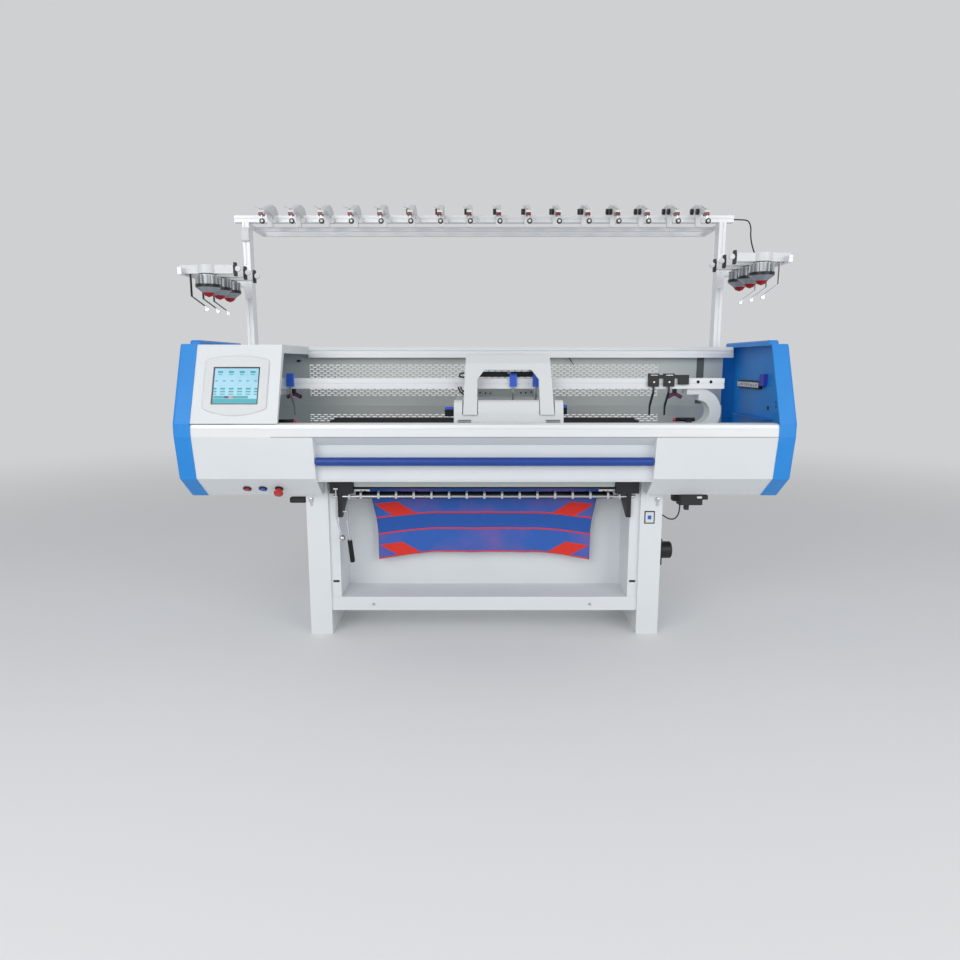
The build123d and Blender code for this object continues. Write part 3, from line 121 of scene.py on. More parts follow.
def powder_coat(name, colour, shade):
    """Powder-coated steel: an even satin skin with faint orange peel, 4 mm so that it shows."""
    made, tree, shader, place = start(name, colour, 0.42)
    cloud = grain(tree, place, 420, detail=2)
    tree.links.new(tint(tree, cloud, shade, colour), shader.inputs["Base Color"])
    peel = grain(tree, place, 4)
    vary(tree, shader, "Roughness", peel, 0.36, 0.48)
    relief(tree, shader, peel, 0.15, 0.25)
    return made


def moulded(name, colour, shade, low, high, coat=0.0):
    """Injection-moulded ABS: a fine even texture, drawn 1.5 mm across."""
    made, tree, shader, place = start(name, colour, low, IOR=1.54, Coat_Weight=coat)
    tree.links.new(tint(tree, grain(tree, place, 160), shade, colour), shader.inputs["Base Color"])
    texture = grain(tree, place, 1.5)
    vary(tree, shader, "Roughness", texture, low, high)
    relief(tree, shader, texture, 0.05, 0.3)
    return made


def drawn_aluminium(name, colour, shade, stretch):
    """Anodised extrusion: die lines along its length, drawn 2 mm apart, under a satin skin."""
    made, tree, shader, place = start(name, colour, 0.34, Metallic=0.15)
    lines = grain(tree, place, 2, stretch)
    tree.links.new(tint(tree, lines, shade, colour), shader.inputs["Base Color"])
    vary(tree, shader, "Roughness", lines, 0.28, 0.42)
    relief(tree, shader, lines, 0.05, 0.25)
    return made


def polished_steel(name, colour, low, high):
    """Ground and polished steel: bright, with fine cross marks 1 mm apart."""
    made, tree, shader, place = start(name, colour, low, Metallic=1.0)
    marks = grain(tree, place, 1, (0.15, 1, 1))
    vary(tree, shader, "Roughness", marks, low, high)
    relief(tree, shader, marks, 0.02, 0.2)
    return made


def black_rubber(name, colour, rib_mm):
    """Moulded rubber: dull, with ribs across its length where rib_mm is given."""
    made, tree, shader, place = start(name, colour, 0.72)
    skin = grain(tree, place, 3)
    vary(tree, shader, "Roughness", skin, 0.6, 0.82)
    if rib_mm:
        skin = add(tree, "ShaderNodeTexWave", {"Scale": 100 * pi / rib_mm},
                   {"Vector": place}, wave_type="BANDS", bands_direction="X").outputs["Fac"]
    relief(tree, shader, skin, 0.3, 0.5)
    return made


def banded(name, place_axis, bands, roughness, metallic):
    """One turned or painted piece whose colour changes at levels along an axis: (level, hex) from below."""
    made, tree, shader, place = start(name, bands[0][1], roughness, Metallic=metallic)
    colour = None
    for (_, lower), (level, code) in zip(bands, bands[1:]):
        mix = add(tree, "ShaderNodeMix", data_type="RGBA")
        mix.inputs[6].default_value = linear(lower)
        mix.inputs[7].default_value = linear(code)
        if colour:
            tree.links.new(colour, mix.inputs[6])
        tree.links.new(above(tree, place, place_axis, level), mix.inputs[0])
        colour = mix.outputs[2]
    tree.links.new(colour, shader.inputs["Base Color"])
    fine = grain(tree, place, 1.2)
    vary(tree, shader, "Roughness", fine, roughness - 0.06, roughness + 0.08)
    relief(tree, shader, fine, 0.03, 0.25)
    return made


WHITE_COAT = powder_coat("white_powder_coat", "#E6EAEC", "#DCE1E4")
GREY_COAT = powder_coat("grey_powder_coat", "#D0D5D2", "#C4CAC7")
CARRIAGE_COAT = powder_coat("pale_grey_powder_coat", "#E0E4E5", "#D6DADC")
BLACK_COAT = powder_coat("black_enamel", "#16171A", "#101114")
BLUE_SHELL = moulded("blue_abs_shell", "#1590E4", "#0D82D6", 0.36, 0.48)
WHITE_ABS = moulded("white_abs", "#E2E4E5", "#D6D9DA", 0.38, 0.52)
BLACK_ABS = moulded("black_abs", "#17181A", "#0F1011", 0.40, 0.58)
BLUE_ABS = moulded("blue_abs", "#2E63D6", "#2452BE", 0.30, 0.44)
RED_ABS = moulded("red_abs", "#C8201C", "#A81612", 0.26, 0.40, 0.3)
BLUE_TUBE = moulded("blue_enamelled_tube", "#0F429C", "#0C388C", 0.36, 0.46)
DARK_RED = moulded("dark_red_lens", "#7C1014", "#5E0B0E", 0.22, 0.34, 0.3)
MAGENTA = moulded("magenta_polyurethane_pad", "#8E2C74", "#74215E", 0.5, 0.62)
VIOLET = moulded("violet_blue_connector", "#3C4BC4", "#303DA8", 0.36, 0.5)
# Dark grey painted shade, put where the front rail, the back panel and the carriage's vent slots lie in shadow
PAINTED_SHADE_GREY = powder_coat("painted_shade_grey", "#5F6462", "#545957")
LONG_ALU = drawn_aluminium("anodised_extrusion_along_x", "#F1F3F4", "#E0E3E6", (0.01, 1, 1))
TALL_ALU = drawn_aluminium("anodised_extrusion_upright", "#F1F3F4", "#E0E3E6", (1, 1, 0.01))
STEEL = polished_steel("polished_steel", "#C9CBCE", 0.12, 0.28)
BLACK_STEEL = polished_steel("blackened_steel", "#2A2B2E", 0.35, 0.5)
CABLE_RUBBER = black_rubber("black_pvc_sheath", "#141416", 0)
BELT_RUBBER = black_rubber("toothed_belt_rubber", "#1A1A1C", 8)
ROLLER_RUBBER = black_rubber("knurled_roller_rubber", "#1C1C1E", 6)
# The beds are ground steel, with the black needle caps on their top 25 mm
BED_STEEL = banded("ground_bed_steel", 2, [(0, "#8E9297"), (0.975, "#141517")], 0.34, 0.8)
CARRIER_BLUE = banded("blue_carrier_on_steel_arm", 2, [(0, "#8A8D91"), (1.146, "#2E63D6")], 0.36, 0.0)
LEVER_STEEL = banded("steel_crank_with_black_grip", 2, [(0, "#141415"), (0.460, "#C4C6C9")], 0.3, 0.4)


def drum_finish(side, level):
    """Feeder drum: red lens below, grey bell, black ring and pale anodised ribs."""
    return banded(f"feeder_drum_finish_{side}", 2, [
        (0, "#A81818"), (level - 0.079, "#9AA0A6"), (level - 0.058, "#232427"),
        (level - 0.045, "#B4B8BC")], 0.32, 0.35)


def arm_finish():
    """Feeder arms: blackened steel on the left, bright steel on the right, each with a white wheel."""
    made, tree, shader, place = start("feeder_arm_steel", "#1C1D20", 0.34, Metallic=0.4)
    side = add(tree, "ShaderNodeMix", data_type="RGBA")
    side.inputs[6].default_value = linear("#1C1D20")
    side.inputs[7].default_value = linear("#B9BCC0")
    tree.links.new(above(tree, place, 0, 0.0), side.inputs[0])
    parts = add(tree, "ShaderNodeSeparateXYZ", links={0: place})
    across = add(tree, "ShaderNodeMath", links={0: parts.outputs[0]}, operation="ABSOLUTE").outputs[0]
    hub = add(tree, "ShaderNodeMath", {1: 1.205, 2: 0.0085}, {0: across}, operation="COMPARE").outputs[0]
    left_low, right_low = [add(tree, "ShaderNodeMath", {1: level}, {0: parts.outputs[2]},
                               operation="LESS_THAN").outputs[0] for level in (1.495, 1.545)]
    reach = add(tree, "ShaderNodeMath", links={0: above(tree, place, 0, 0.0), 1: right_low},
                operation="MULTIPLY").outputs[0]
    either = add(tree, "ShaderNodeMath", links={0: left_low, 1: reach}, operation="MAXIMUM").outputs[0]
    wheel = add(tree, "ShaderNodeMath", links={0: hub, 1: either}, operation="MULTIPLY").outputs[0]
    final = add(tree, "ShaderNodeMix", data_type="RGBA")
    final.inputs[7].default_value = linear("#E6E7E8")
    tree.links.new(side.outputs[2], final.inputs[6])
    tree.links.new(wheel, final.inputs[0])
    tree.links.new(final.outputs[2], shader.inputs["Base Color"])
    vary(tree, shader, "Roughness", grain(tree, place, 2), 0.28, 0.42)
    return made


SCREEN_X = 1.054  # how far the screen's middle is left of the machine's


def screen_finish():
    """Lit LCD 198 by 169 mm: dark border, pale cyan ground, rows of plain teal blocks and a foot bar."""
    made, tree, shader, place = start("lcd_screen", "#14181C", 0.12, Emission_Strength=0.9)
    lean = radians(22.4)    # the panel leans back
    middle = 0.9164         # its middle, measured up that slope from the frame's origin
    climb = add(tree, "ShaderNodeVectorMath", {1: (0, sin(lean), cos(lean))}, {0: place},
                operation="DOT_PRODUCT").outputs["Value"]
    up = add(tree, "ShaderNodeMath", {1: middle}, {0: climb}, operation="SUBTRACT").outputs[0]
    x = add(tree, "ShaderNodeSeparateXYZ", links={0: place}).outputs[0]
    across = add(tree, "ShaderNodeMath", {1: SCREEN_X}, {0: x}, operation="ADD").outputs[0]

    def within(value, centre, half):
        return add(tree, "ShaderNodeMath", {1: centre, 2: half}, {0: value},
                   operation="COMPARE").outputs[0]

    def repeated(value, pitch, width):
        wave = add(tree, "ShaderNodeMath", {1: pitch / 2}, {0: value}, operation="PINGPONG").outputs[0]
        return add(tree, "ShaderNodeMath", {1: (pitch - width) / 2}, {0: wave},
                   operation="GREATER_THAN").outputs[0]

    def both(first, second):
        return add(tree, "ShaderNodeMath", links={0: first, 1: second}, operation="MULTIPLY").outputs[0]

    colour = tint(tree, grain(tree, place, 22), "#9AD4F2", "#B4E4F6")
    for mask, code in (
            (both(within(up, 0.062, 0.0045), repeated(across, 0.046, 0.022)), "#2BA7AE"),
            (both(within(up, 0.051, 0.0030), repeated(across, 0.046, 0.017)), "#4CBFC6"),
            (both(within(up, 0.022, 0.0035), repeated(across, 0.033, 0.012)), "#58B9C8"),
            (both(within(up, -0.013, 0.0040), repeated(across, 0.036, 0.020)), "#1FA3A3"),
            (both(within(up, -0.026, 0.0035), repeated(across, 0.036, 0.021)), "#27AAB0"),
            (both(within(up, -0.038, 0.0030), repeated(across, 0.036, 0.021)), "#3DB9BC"),
            (both(within(up, -0.051, 0.0055), within(across, -0.018, 0.073)), "#29A4AA"),
            (both(within(up, -0.051, 0.0055), within(across, -0.036, 0.009)), "#1C4F7C"),
            (both(within(up, -0.051, 0.0055), within(across, -0.018, 0.008)), "#D6949A"),
            (within(up, -0.068, 0.0100), "#1FAAB8")):
        mix = add(tree, "ShaderNodeMix", data_type="RGBA")
        mix.inputs[7].default_value = linear(code)
        tree.links.new(colour, mix.inputs[6])
        tree.links.new(mask, mix.inputs[0])
        colour = mix.outputs[2]
    edge = add(tree, "ShaderNodeMix", data_type="RGBA")
    edge.inputs[6].default_value = linear("#33384E")
    tree.links.new(colour, edge.inputs[7])
    tree.links.new(both(within(across, 0.0, 0.0925), within(up, 0.0, 0.0785)), edge.inputs[0])
    tree.links.new(edge.outputs[2], shader.inputs["Emission Color"])
    return made


def knit_finish():
    """Weft-knitted jacquard in acrylic: blue grounds, a plain band, red lines and red parallelograms.
    The UV map holds metres across from the middle and metres above the floor, before the cloth sags.
    Stitches are about 2 mm wide. A wave scale of 62 draws them 5 mm wide so that they show."""
    made, tree, shader, _ = start("jacquard_knit", "#2A5CB0", 0.88, Sheen_Weight=0.35)
    line_half = 0.0034
    uv = add(tree, "ShaderNodeTexCoord").outputs["UV"]
    parts = add(tree, "ShaderNodeSeparateXYZ", links={0: uv})
    side, up = add(tree, "ShaderNodeMath", links={0: parts.outputs[0]},
                   operation="ABSOLUTE").outputs[0], parts.outputs[1]

    def near(value, middle, half):
        return add(tree, "ShaderNodeMath", {1: middle, 2: half}, {0: value},
                   operation="COMPARE").outputs[0]

    def both(first, second, how="MULTIPLY"):
        return add(tree, "ShaderNodeMath", links={0: first, 1: second}, operation=how).outputs[0]

    zone = add(tree, "ShaderNodeTexNoise", {"Scale": 3.5, "Detail": 4}, {"Vector": uv}).outputs["Fac"]
    zone = add(tree, "ShaderNodeMapRange", {"From Min": 0.42, "From Max": 0.68}, {"Value": zone}).outputs[0]
    speck = add(tree, "ShaderNodeTexNoise", {"Scale": 230, "Detail": 1}, {"Vector": uv}).outputs["Fac"]
    mottle = tint(tree, both(zone, speck, "MULTIPLY"), "#2F62BA", "#9C5FA0")
    band = near(up, 0.510, 0.036)
    ground = add(tree, "ShaderNodeMix", data_type="RGBA")
    ground.inputs[7].default_value = linear("#2459B0")
    tree.links.new(mottle, ground.inputs[6])
    tree.links.new(band, ground.inputs[0])
    red = near(up, 0.548, line_half)
    for line in (0.470, 0.3555):
        red = both(red, near(up, line, line_half), "MAXIMUM")
    # Parallelograms 110 mm wide and 58 mm tall: the height of their middle, and how far out it is
    for middle, out in ((0.580, 0.424), (0.388, 0.405)):
        lean = add(tree, "ShaderNodeMath", {1: middle}, {0: up}, operation="SUBTRACT").outputs[0]
        slid = add(tree, "ShaderNodeMath", {1: -1.5}, {0: lean, 2: side},
                   operation="MULTIPLY_ADD").outputs[0]
        shape = both(near(slid, out, 0.055), near(up, middle, 0.029))
        red = both(red, shape, "MAXIMUM")
    dyed = add(tree, "ShaderNodeMix", data_type="RGBA")
    dyed.inputs[7].default_value = linear("#E33022")
    tree.links.new(ground.outputs[2], dyed.inputs[6])
    tree.links.new(red, dyed.inputs[0])
    tree.links.new(dyed.outputs[2], shader.inputs["Base Color"])
    stitch = add(tree, "ShaderNodeTexWave", {"Scale": 62, "Distortion": 1.5, "Detail": 1},
                 {"Vector": uv}, wave_type="BANDS", bands_direction="X").outputs["Fac"]
    relief(tree, shader, stitch, 0.8, 0.5)
    return made


FINISHES = {
    "left_leg": WHITE_COAT, "right_leg": WHITE_COAT, "bottom_tray": WHITE_COAT,
    "chute_panel": WHITE_COAT, "front_cover": WHITE_COAT, "console_panel": WHITE_COAT,
    "rail_brackets": WHITE_COAT, "bed_frame": GREY_COAT, "back_cover": GREY_COAT,
    "carriage_boxes": CARRIAGE_COAT, "carriage_arch": CARRIAGE_COAT,
    "front_needle_bed": BED_STEEL, "rear_needle_bed": BED_STEEL,
    "front_rail": LONG_ALU, "rear_rail": LONG_ALU, "yarn_rails": LONG_ALU, "top_beam": LONG_ALU,
    "guide_bars": LONG_ALU, "posts": TALL_ALU, "feeder_mounts": TALL_ALU,
    "left_end_cover": BLUE_SHELL, "right_end_cover": BLUE_SHELL,
    "monitor_bezel": WHITE_ABS, "monitor_screen": screen_finish(),
    "tensioner_housings": WHITE_ABS, "feeder_housings": WHITE_ABS,
    "tensioner_knobs": BLACK_ABS, "button_collars": BLACK_ABS, "yarn_grippers": BLACK_ABS,
    "control_box": BLACK_ABS, "yarn_carrier_4": BLACK_ABS,
    "yarn_carrier_1": CARRIER_BLUE, "yarn_carrier_2": CARRIER_BLUE, "yarn_carrier_3": CARRIER_BLUE,
    "start_bar": BLUE_TUBE, "red_button": RED_ABS, "blue_button": BLUE_ABS, "stop_button": RED_ABS,
    "carriage_rails": STEEL, "presser_hooks": STEEL, "ball_lever": STEEL,
    "release_lever": LEVER_STEEL, "take_down_plates": BLACK_COAT, "take_down_motor": BLACK_COAT,
    "drive_motor": BLACK_COAT, "feeder_arms": arm_finish(),
    "take_down_roller": ROLLER_RUBBER, "press_roller": ROLLER_RUBBER, "drive_belt": BELT_RUBBER,
    "drive_pulley": STEEL, "idler_pulley": STEEL,
    "fabric": knit_finish(), "beam_cable": CABLE_RUBBER, "hanging_cable": CABLE_RUBBER,
}
for (_, side), level in zip(SIDES, FEEDER_LEVELS):
    drum = drum_finish(side, level)
    for number in (1, 2, 3):
        FINISHES[f"feeder_drum_{side}_{number}"] = drum


def paint(piece, finish):
    """The piece takes one finish all over."""
    piece.data.materials.clear()
    piece.data.materials.append(finish)


for node, finish in FINISHES.items():
    paint(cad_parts[node], finish)


# Modelling


def at(x, depth, z):
    """A point given by how far it lies behind the nose of the covers."""
    return (x, FRONT + depth, z)


def clear():
    """Nothing stays selected."""
    bpy.ops.object.select_all(action="DESELECT")


def settle(name, finish, body=MACHINE):
    """The active object, placed in its mesh, named, finished and riding on a body."""
    piece = bpy.context.object
    bpy.ops.object.transform_apply(location=True, rotation=True, scale=True)
    piece.name = name
    piece.data.name = name
    paint(piece, finish)
    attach(piece, body)
    clear()
    return piece


def block(name, low, high, finish, edge=0.0008, body=MACHINE, turn=(0, 0, 0)):
    """A housing between two corners with its edges bevelled, turned about its middle."""
    clear()
    low, high = Vector(low), Vector(high)
    bpy.ops.mesh.primitive_cube_add(size=1, location=(low + high) / 2, scale=high - low,
                                    rotation=[radians(angle) for angle in turn])
    bpy.ops.object.transform_apply(location=True, rotation=True, scale=True)
    bpy.ops.object.mode_set(mode="EDIT")
    bpy.ops.mesh.select_all(action="SELECT")
    bpy.ops.mesh.bevel(offset=edge, segments=2)
    bpy.ops.object.mode_set(mode="OBJECT")
    return settle(name, finish, body)


def spindle(name, start_at, end_at, radius, finish, edge=0.0006, sides=20, body=MACHINE):
    """A turned pin, disc or boss between two points with bevelled ends."""
    clear()
    first, last = Vector(start_at), Vector(end_at)
    run = last - first
    bpy.ops.mesh.primitive_cylinder_add(vertices=sides, radius=radius, depth=run.length,
                                        location=(first + last) / 2,
                                        rotation=run.to_track_quat("Z", "Y").to_euler())
    bpy.ops.object.transform_apply(location=True, rotation=True, scale=True)
    bpy.ops.object.mode_set(mode="EDIT")
    bpy.ops.mesh.select_all(action="SELECT")
    bpy.ops.mesh.bevel(offset=edge, segments=2)
    bpy.ops.object.mode_set(mode="OBJECT")
    bpy.ops.object.shade_smooth_by_angle(angle=radians(35))
    return settle(name, finish, body)


# Back cover: the real one has staggered slots 22 by 4 mm, 33 mm apart, in rows 10 mm apart
VENT_X = 0.895
VENT_CELL = 0.0055         # a slot is 4 cells long with 2 cells between slots
VENT_PITCH = 0.010
BACK_X = 1.200
BACK_Y = FRONT + 0.640
LEDGE = 0.020
SHEET = 0.003
FOLD_Z = 1.038
# Name, place in depth, lowest slot, rows of slots, foot and head of each field
FIELDS = (("upper", BACK_Y, 1.089, 16, FOLD_Z, 1.330), ("lower", BACK_Y - LEDGE, 0.962, 4, 0.7403, FOLD_Z))


def perforated_sheet(name, y, low, slot_rows):
    """One field of the back cover, with the slot cells taken out of a sheet and a wall given to it."""
    clear()
    columns = int(2 * VENT_X / VENT_CELL)
    rows = 2 * slot_rows
    bpy.ops.mesh.primitive_grid_add(
        x_subdivisions=columns, y_subdivisions=rows, size=1,
        location=(0, y, low + rows * VENT_PITCH / 4), rotation=(radians(90), 0, 0))
    sheet = bpy.context.object
    sheet.scale = (columns * VENT_CELL, rows * VENT_PITCH / 2, 1)
    bpy.ops.object.transform_apply(location=True, rotation=True, scale=True)
    bpy.ops.object.mode_set(mode="EDIT")
    bpy.ops.mesh.select_mode(type="FACE")
    bpy.ops.mesh.select_all(action="DESELECT")
    bpy.ops.object.mode_set(mode="OBJECT")
    left = -columns * VENT_CELL / 2
    for face in sheet.data.polygons:
        column = int((face.center.x - left) / VENT_CELL)
        row = int((face.center.z - low) / (VENT_PITCH / 2))
        shift = 3 if (row // 2) % 2 else 0
        face.select = row % 2 == 0 and (column + shift) % 6 < 4 and 2 < column < columns - 3
    bpy.ops.object.mode_set(mode="EDIT")
    bpy.ops.mesh.delete(type="FACE")
    bpy.ops.object.mode_set(mode="OBJECT")
    wall = sheet.modifiers.new("wall", "SOLIDIFY")
    wall.thickness = SHEET
    wall.offset = -1
    bpy.ops.object.modifier_apply(modifier="wall")
    return settle(name, GREY_COAT)


half = int(2 * VENT_X / VENT_CELL) * VENT_CELL / 2
for name, y, low, slot_rows, foot, head in FIELDS:
    field = perforated_sheet(f"perforated_{name}", y, low, slot_rows)
    high = low + slot_rows * VENT_PITCH
    for part, x0, x1, z0, z1 in (
            ("top", -BACK_X, BACK_X, high, head), ("foot", -BACK_X, BACK_X, foot, low),
            ("left", -BACK_X, -half, low, high), ("right", half, BACK_X, low, high)):
        block(f"border_{name}_{part}", (x0, y, z0), (x1, y + SHEET, z1), GREY_COAT, 0.0004)
    if name == "upper":
        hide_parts("back_cover")
block("panel_ledge", (-BACK_X, BACK_Y - LEDGE, FOLD_Z), (BACK_X, BACK_Y, FOLD_Z + SHEET), GREY_COAT, 0.0004)
# A strip of painted shade on the right of the back panel
block("panel_shade_strip_right", (1.0685, BACK_Y - 0.0012, 1.050), (1.1050, BACK_Y + 0.0002, 1.322), PAINTED_SHADE_GREY,
      0.0003)
block("latch_left", (-0.938, BACK_Y - 0.008, 1.257), (-0.922, BACK_Y, 1.267), BLACK_ABS, 0.001)
block("latch_left_tongue", (-0.922, BACK_Y - 0.006, 1.259), (-0.909, BACK_Y, 1.266), STEEL, 0.001)


# Knitted cloth between the rollers
CLOTH_TOP = 0.985
CLOTH_LOW = 0.352
CLOTH_HALF = 0.550
CLOTH_COLUMNS = 150
CLOTH_ROWS = 90
ROLLER_LINE = 0.680


def cloth():
    """One hung sheet: drawn in below the rollers, its lower corners dropping, with soft lengthwise folds."""
    points, faces, places = [], [], []
    for row in range(CLOTH_ROWS + 1):
        up = CLOTH_TOP + (CLOTH_LOW - CLOTH_TOP) * row / CLOTH_ROWS
        below = max(0.0, (ROLLER_LINE - up) / (ROLLER_LINE - CLOTH_LOW))
        for column in range(CLOTH_COLUMNS + 1):
            share = 2 * column / CLOTH_COLUMNS - 1
            across = share * CLOTH_HALF
            narrow = 1 - 0.075 * sin(min(1.0, below * 1.5) * pi / 2)
            corner = max(0.0, (abs(share) - 0.45) / 0.55) ** 1.5
            drop = (0.028 + 0.010 * below ** 4) * min(1.0, below / 0.3) * corner
            fold = 0.0035 * below * sin(across * 21) + 0.002 * below * sin(across * 47 + 1.3)
            points.append((across * narrow, NEEDLE_Y + 0.004 * below + fold, up - drop))
            places.append((across * narrow, up))
    wide = CLOTH_COLUMNS + 1
    for row in range(CLOTH_ROWS):
        for column in range(CLOTH_COLUMNS):
            first = row * wide + column
            faces.append((first, first + wide, first + wide + 1, first + 1))
    mesh = bpy.data.meshes.new("knitted_cloth")
    mesh.from_pydata(points, [], faces)
    uv = mesh.uv_layers.new(name="UVMap")
    for loop in mesh.loops:
        uv.data[loop.index].uv = places[loop.vertex_index]
    mesh.shade_smooth()
    piece = bpy.data.objects.new("knitted_cloth", mesh)
    bpy.context.scene.collection.objects.link(piece)
    wall = piece.modifiers.new("wall", "SOLIDIFY")
    wall.thickness = 0.0016
    wall.offset = 0
    paint(piece, FINISHES["fabric"])
    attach(piece, MACHINE)
    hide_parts("fabric")
    return piece


cloth()


# Cables
CABLE_D = 0.006


def cable(name, node, route):
    """A sheathed cable on one smooth line led by its route's points, which are in mm."""
    curve = bpy.data.curves.new(name, "CURVE")
    curve.dimensions = "3D"
    curve.bevel_depth = CABLE_D / 2
    curve.bevel_resolution = 4
    curve.resolution_u = 12
    curve.use_fill_caps = True
    line = curve.splines.new("NURBS")
    line.points.add(len(route) - 1)
    places = [at(x / 1000, t / 1000, z / 1000) for x, t, z in route]
    for point, place in zip(line.points, places):
        point.co = (*place, 1)
    line.order_u = 3
    line.use_endpoint_u = True
    piece = bpy.data.objects.new(name, curve)
    bpy.context.scene.collection.objects.link(piece)
    curve.materials.append(CABLE_RUBBER)
    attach(piece, MACHINE)
    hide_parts(node)
    return piece


cable("beam_lead", "beam_cable", [
    (1220, 675, 1946), (1262, 675, 1946), (1275, 610, 1930), (1254, 515, 1880),
    (1222, 430, 1826), (1203, 350, 1768), (1195, 288, 1722), (1194, 239.5, 1702)])
cable("motor_lead", "hanging_cable", [
    (884, 180, 623.7), (884, 180, 596), (880, 190, 566), (868, 208, 546),
    (849, 228, 543), (829, 243, 556), (812, 248, 562)])


# Tensioner trim: dark red lamp, yarn wheel under the front edge, white disc and wire arm
TENSIONERS = 16
TENSIONER_PITCH = 0.1388
WHEEL_Z = 1.906
DISC_Z = 1.935
for index in range(TENSIONERS):
    x = (index - (TENSIONERS - 1) / 2) * TENSIONER_PITCH
    wheel_x, disc_x = x + 0.004, x + 0.024
    number = index + 1
    block(f"tensioner_lamp_{number}", at(x - 0.0135, 0.4985, 1.932), at(x + 0.0100, 0.530, 1.9465), DARK_RED,
          0.002)
    block(f"tensioner_strut_{number}", at(x - 0.003, 0.5020, 1.902), at(x + 0.003, 0.508, 1.940), STEEL)
    spindle(f"tensioner_wheel_{number}", at(wheel_x, 0.4945, WHEEL_Z), at(wheel_x, 0.502, WHEEL_Z), 0.0125,
            BLACK_ABS)
    spindle(f"tensioner_hub_{number}", at(wheel_x, 0.4920, WHEEL_Z), at(wheel_x, 0.4945, WHEEL_Z), 0.0062,
            WHITE_ABS, 0.0004)
    spindle(f"tensioner_disc_{number}", at(disc_x, 0.636, DISC_Z), at(disc_x, 0.6545, DISC_Z), 0.0130, WHITE_ABS)
    spindle(f"tensioner_arm_{number}", at(x, 0.520, 1.962), at(x - 0.030, 0.500, 1.972), 0.0020, STEEL, 0.0005, 8)

# Feeder trim: hook bracket with a white ceramic disc at each inner end
HOOK_X = 1.080
for (sign, side), level in zip(SIDES, FEEDER_LEVELS):
    inner, outer = sorted((sign * HOOK_X, sign * (HOOK_X - 0.012)))
    disc_x = sign * (HOOK_X - 0.022)
    for number, t in enumerate((0.200, 0.330, 0.460), start=1):
        block(f"feeder_hook_{side}_{number}", at(inner, t - 0.010, level - 0.010),
              at(outer, t + 0.010, level + 0.048), BLACK_ABS, 0.002)
        spindle(f"feeder_disc_{side}_{number}", at(disc_x, t - 0.018, level + 0.020),
                at(disc_x, t - 0.006, level + 0.020), 0.012, WHITE_ABS)

# Black slots in the legs' inner flanges and screws in the tray
for (sign, side), screw_x in zip(SIDES, (-0.516, 0.492)):
    x = sign * 0.687
    block(f"leg_slot_{side}", at(x - 0.014, 0.2062, 0.247), at(x + 0.014, 0.2076, 0.257), BLACK_ABS, 0.0004)
    spindle(f"tray_screw_{side}", at(screw_x, 0.199, 0.143), at(screw_x, 0.207, 0.143), 0.006, STEEL)

# Smooth black caps over both beds' top edges, with a nub at each end
BED_HALF = 0.700
NUB_X = 0.709
for name, side, body in (("front", -1, MACHINE), ("rear", 1, "rear_needle_bed")):
    y = NEEDLE_Y + side * 0.0185
    block(f"bed_cap_{name}", (-BED_HALF, y - 0.016, 0.9871), (BED_HALF, y + 0.016, 0.9889), BLACK_ABS, 0.0004, body,
          (-45 * side, 0, 0))
    for sign, end in SIDES:
        block(f"bed_nub_{name}_{end}", (sign * NUB_X - 0.008, y - 0.010, 0.976),
              (sign * NUB_X + 0.008, y + 0.010, 0.990), BLACK_ABS, 0.002, body)

# Yarn gripper pads, rail-end bolts and the two stop sensors behind the nose
for sign, side in SIDES:
    for lean in (-1, 1):
        x = sign * 0.892 + lean * 0.017
        block(f"gripper_pad_{side}_{'in' if lean == -sign else 'out'}", at(x - 0.015, 0.3690, 1.0965),
              at(x + 0.015, 0.3712, 1.1075), MAGENTA, 0.0005, turn=(0, lean * 28, 0))
for x in (0.9756, 1.0342):
    spindle(f"rail_bolt_{round(x * 1000)}", at(x, 0.2999, 1.167), at(x, 0.3030, 1.167), 0.0075, BLACK_STEEL, 0.0005)
SENSOR_T = 0.095
for (sign, side), z in zip(SIDES, (1.004, 1.012)):
    spindle(f"stop_sensor_{side}", at(sign * 0.905, SENSOR_T, z), at(sign * 0.822, SENSOR_T, z), 0.0085,
            BLACK_STEEL)
    spindle(f"stop_sensor_tip_{side}", at(sign * 0.822, SENSOR_T, z), at(sign * 0.812, SENSOR_T, z), 0.0070,
            RED_ABS)
    block(f"stop_sensor_foot_{side}", at(sign * 0.880 - 0.012, 0.086, z - 0.034),
          at(sign * 0.880 + 0.012, 0.104, z - 0.004), BLACK_ABS, 0.0015)

# Carriage trim: unit, plate and screws in the arch window, cables beside it, painted shade in the vent slots and
# side sensors
CARRIAGE = "carriage"
ARCH_CABLE_T = 0.250
for name, low, high, finish, edge in (
        ("window_unit", (-0.034, 0.3555, 1.188), (0.244, 0.3665, 1.213), BLACK_ABS, 0.0015),
        ("window_plug", (0.108, 0.3535, 1.203), (0.122, 0.3560, 1.212), WHITE_ABS, 0.0008),
        ("window_plate", (-0.036, 0.5600, 1.071), (0.252, 0.5630, 1.135), GREY_COAT, 0.0008)):
    block(name, at(*low), at(*high), finish, edge, CARRIAGE)
WINDOW_SCREWS = ((-0.020, 1.108), (0.008, 1.105), (0.032, 1.104), (0.182, 1.106), (0.206, 1.107), (0.234, 1.110))
for number, (x, z) in enumerate(WINDOW_SCREWS, start=1):
    spindle(f"window_screw_{number}", at(x, 0.5575, z), at(x, 0.5600, z), 0.0042, BLACK_STEEL, 0.0006, 12,
            CARRIAGE)
ARCH_CABLES = (((-0.090, 1.209), (-0.107, 1.205), (-0.114, 1.192), (-0.090, 1.188)),
               ((-0.118, 1.146), (-0.112, 1.128), (-0.090, 1.109)),
               ((-0.107, 1.148), (-0.103, 1.134), (-0.088, 1.120)))
runs = [pair for bends in ARCH_CABLES for pair in zip(bends, bends[1:])]
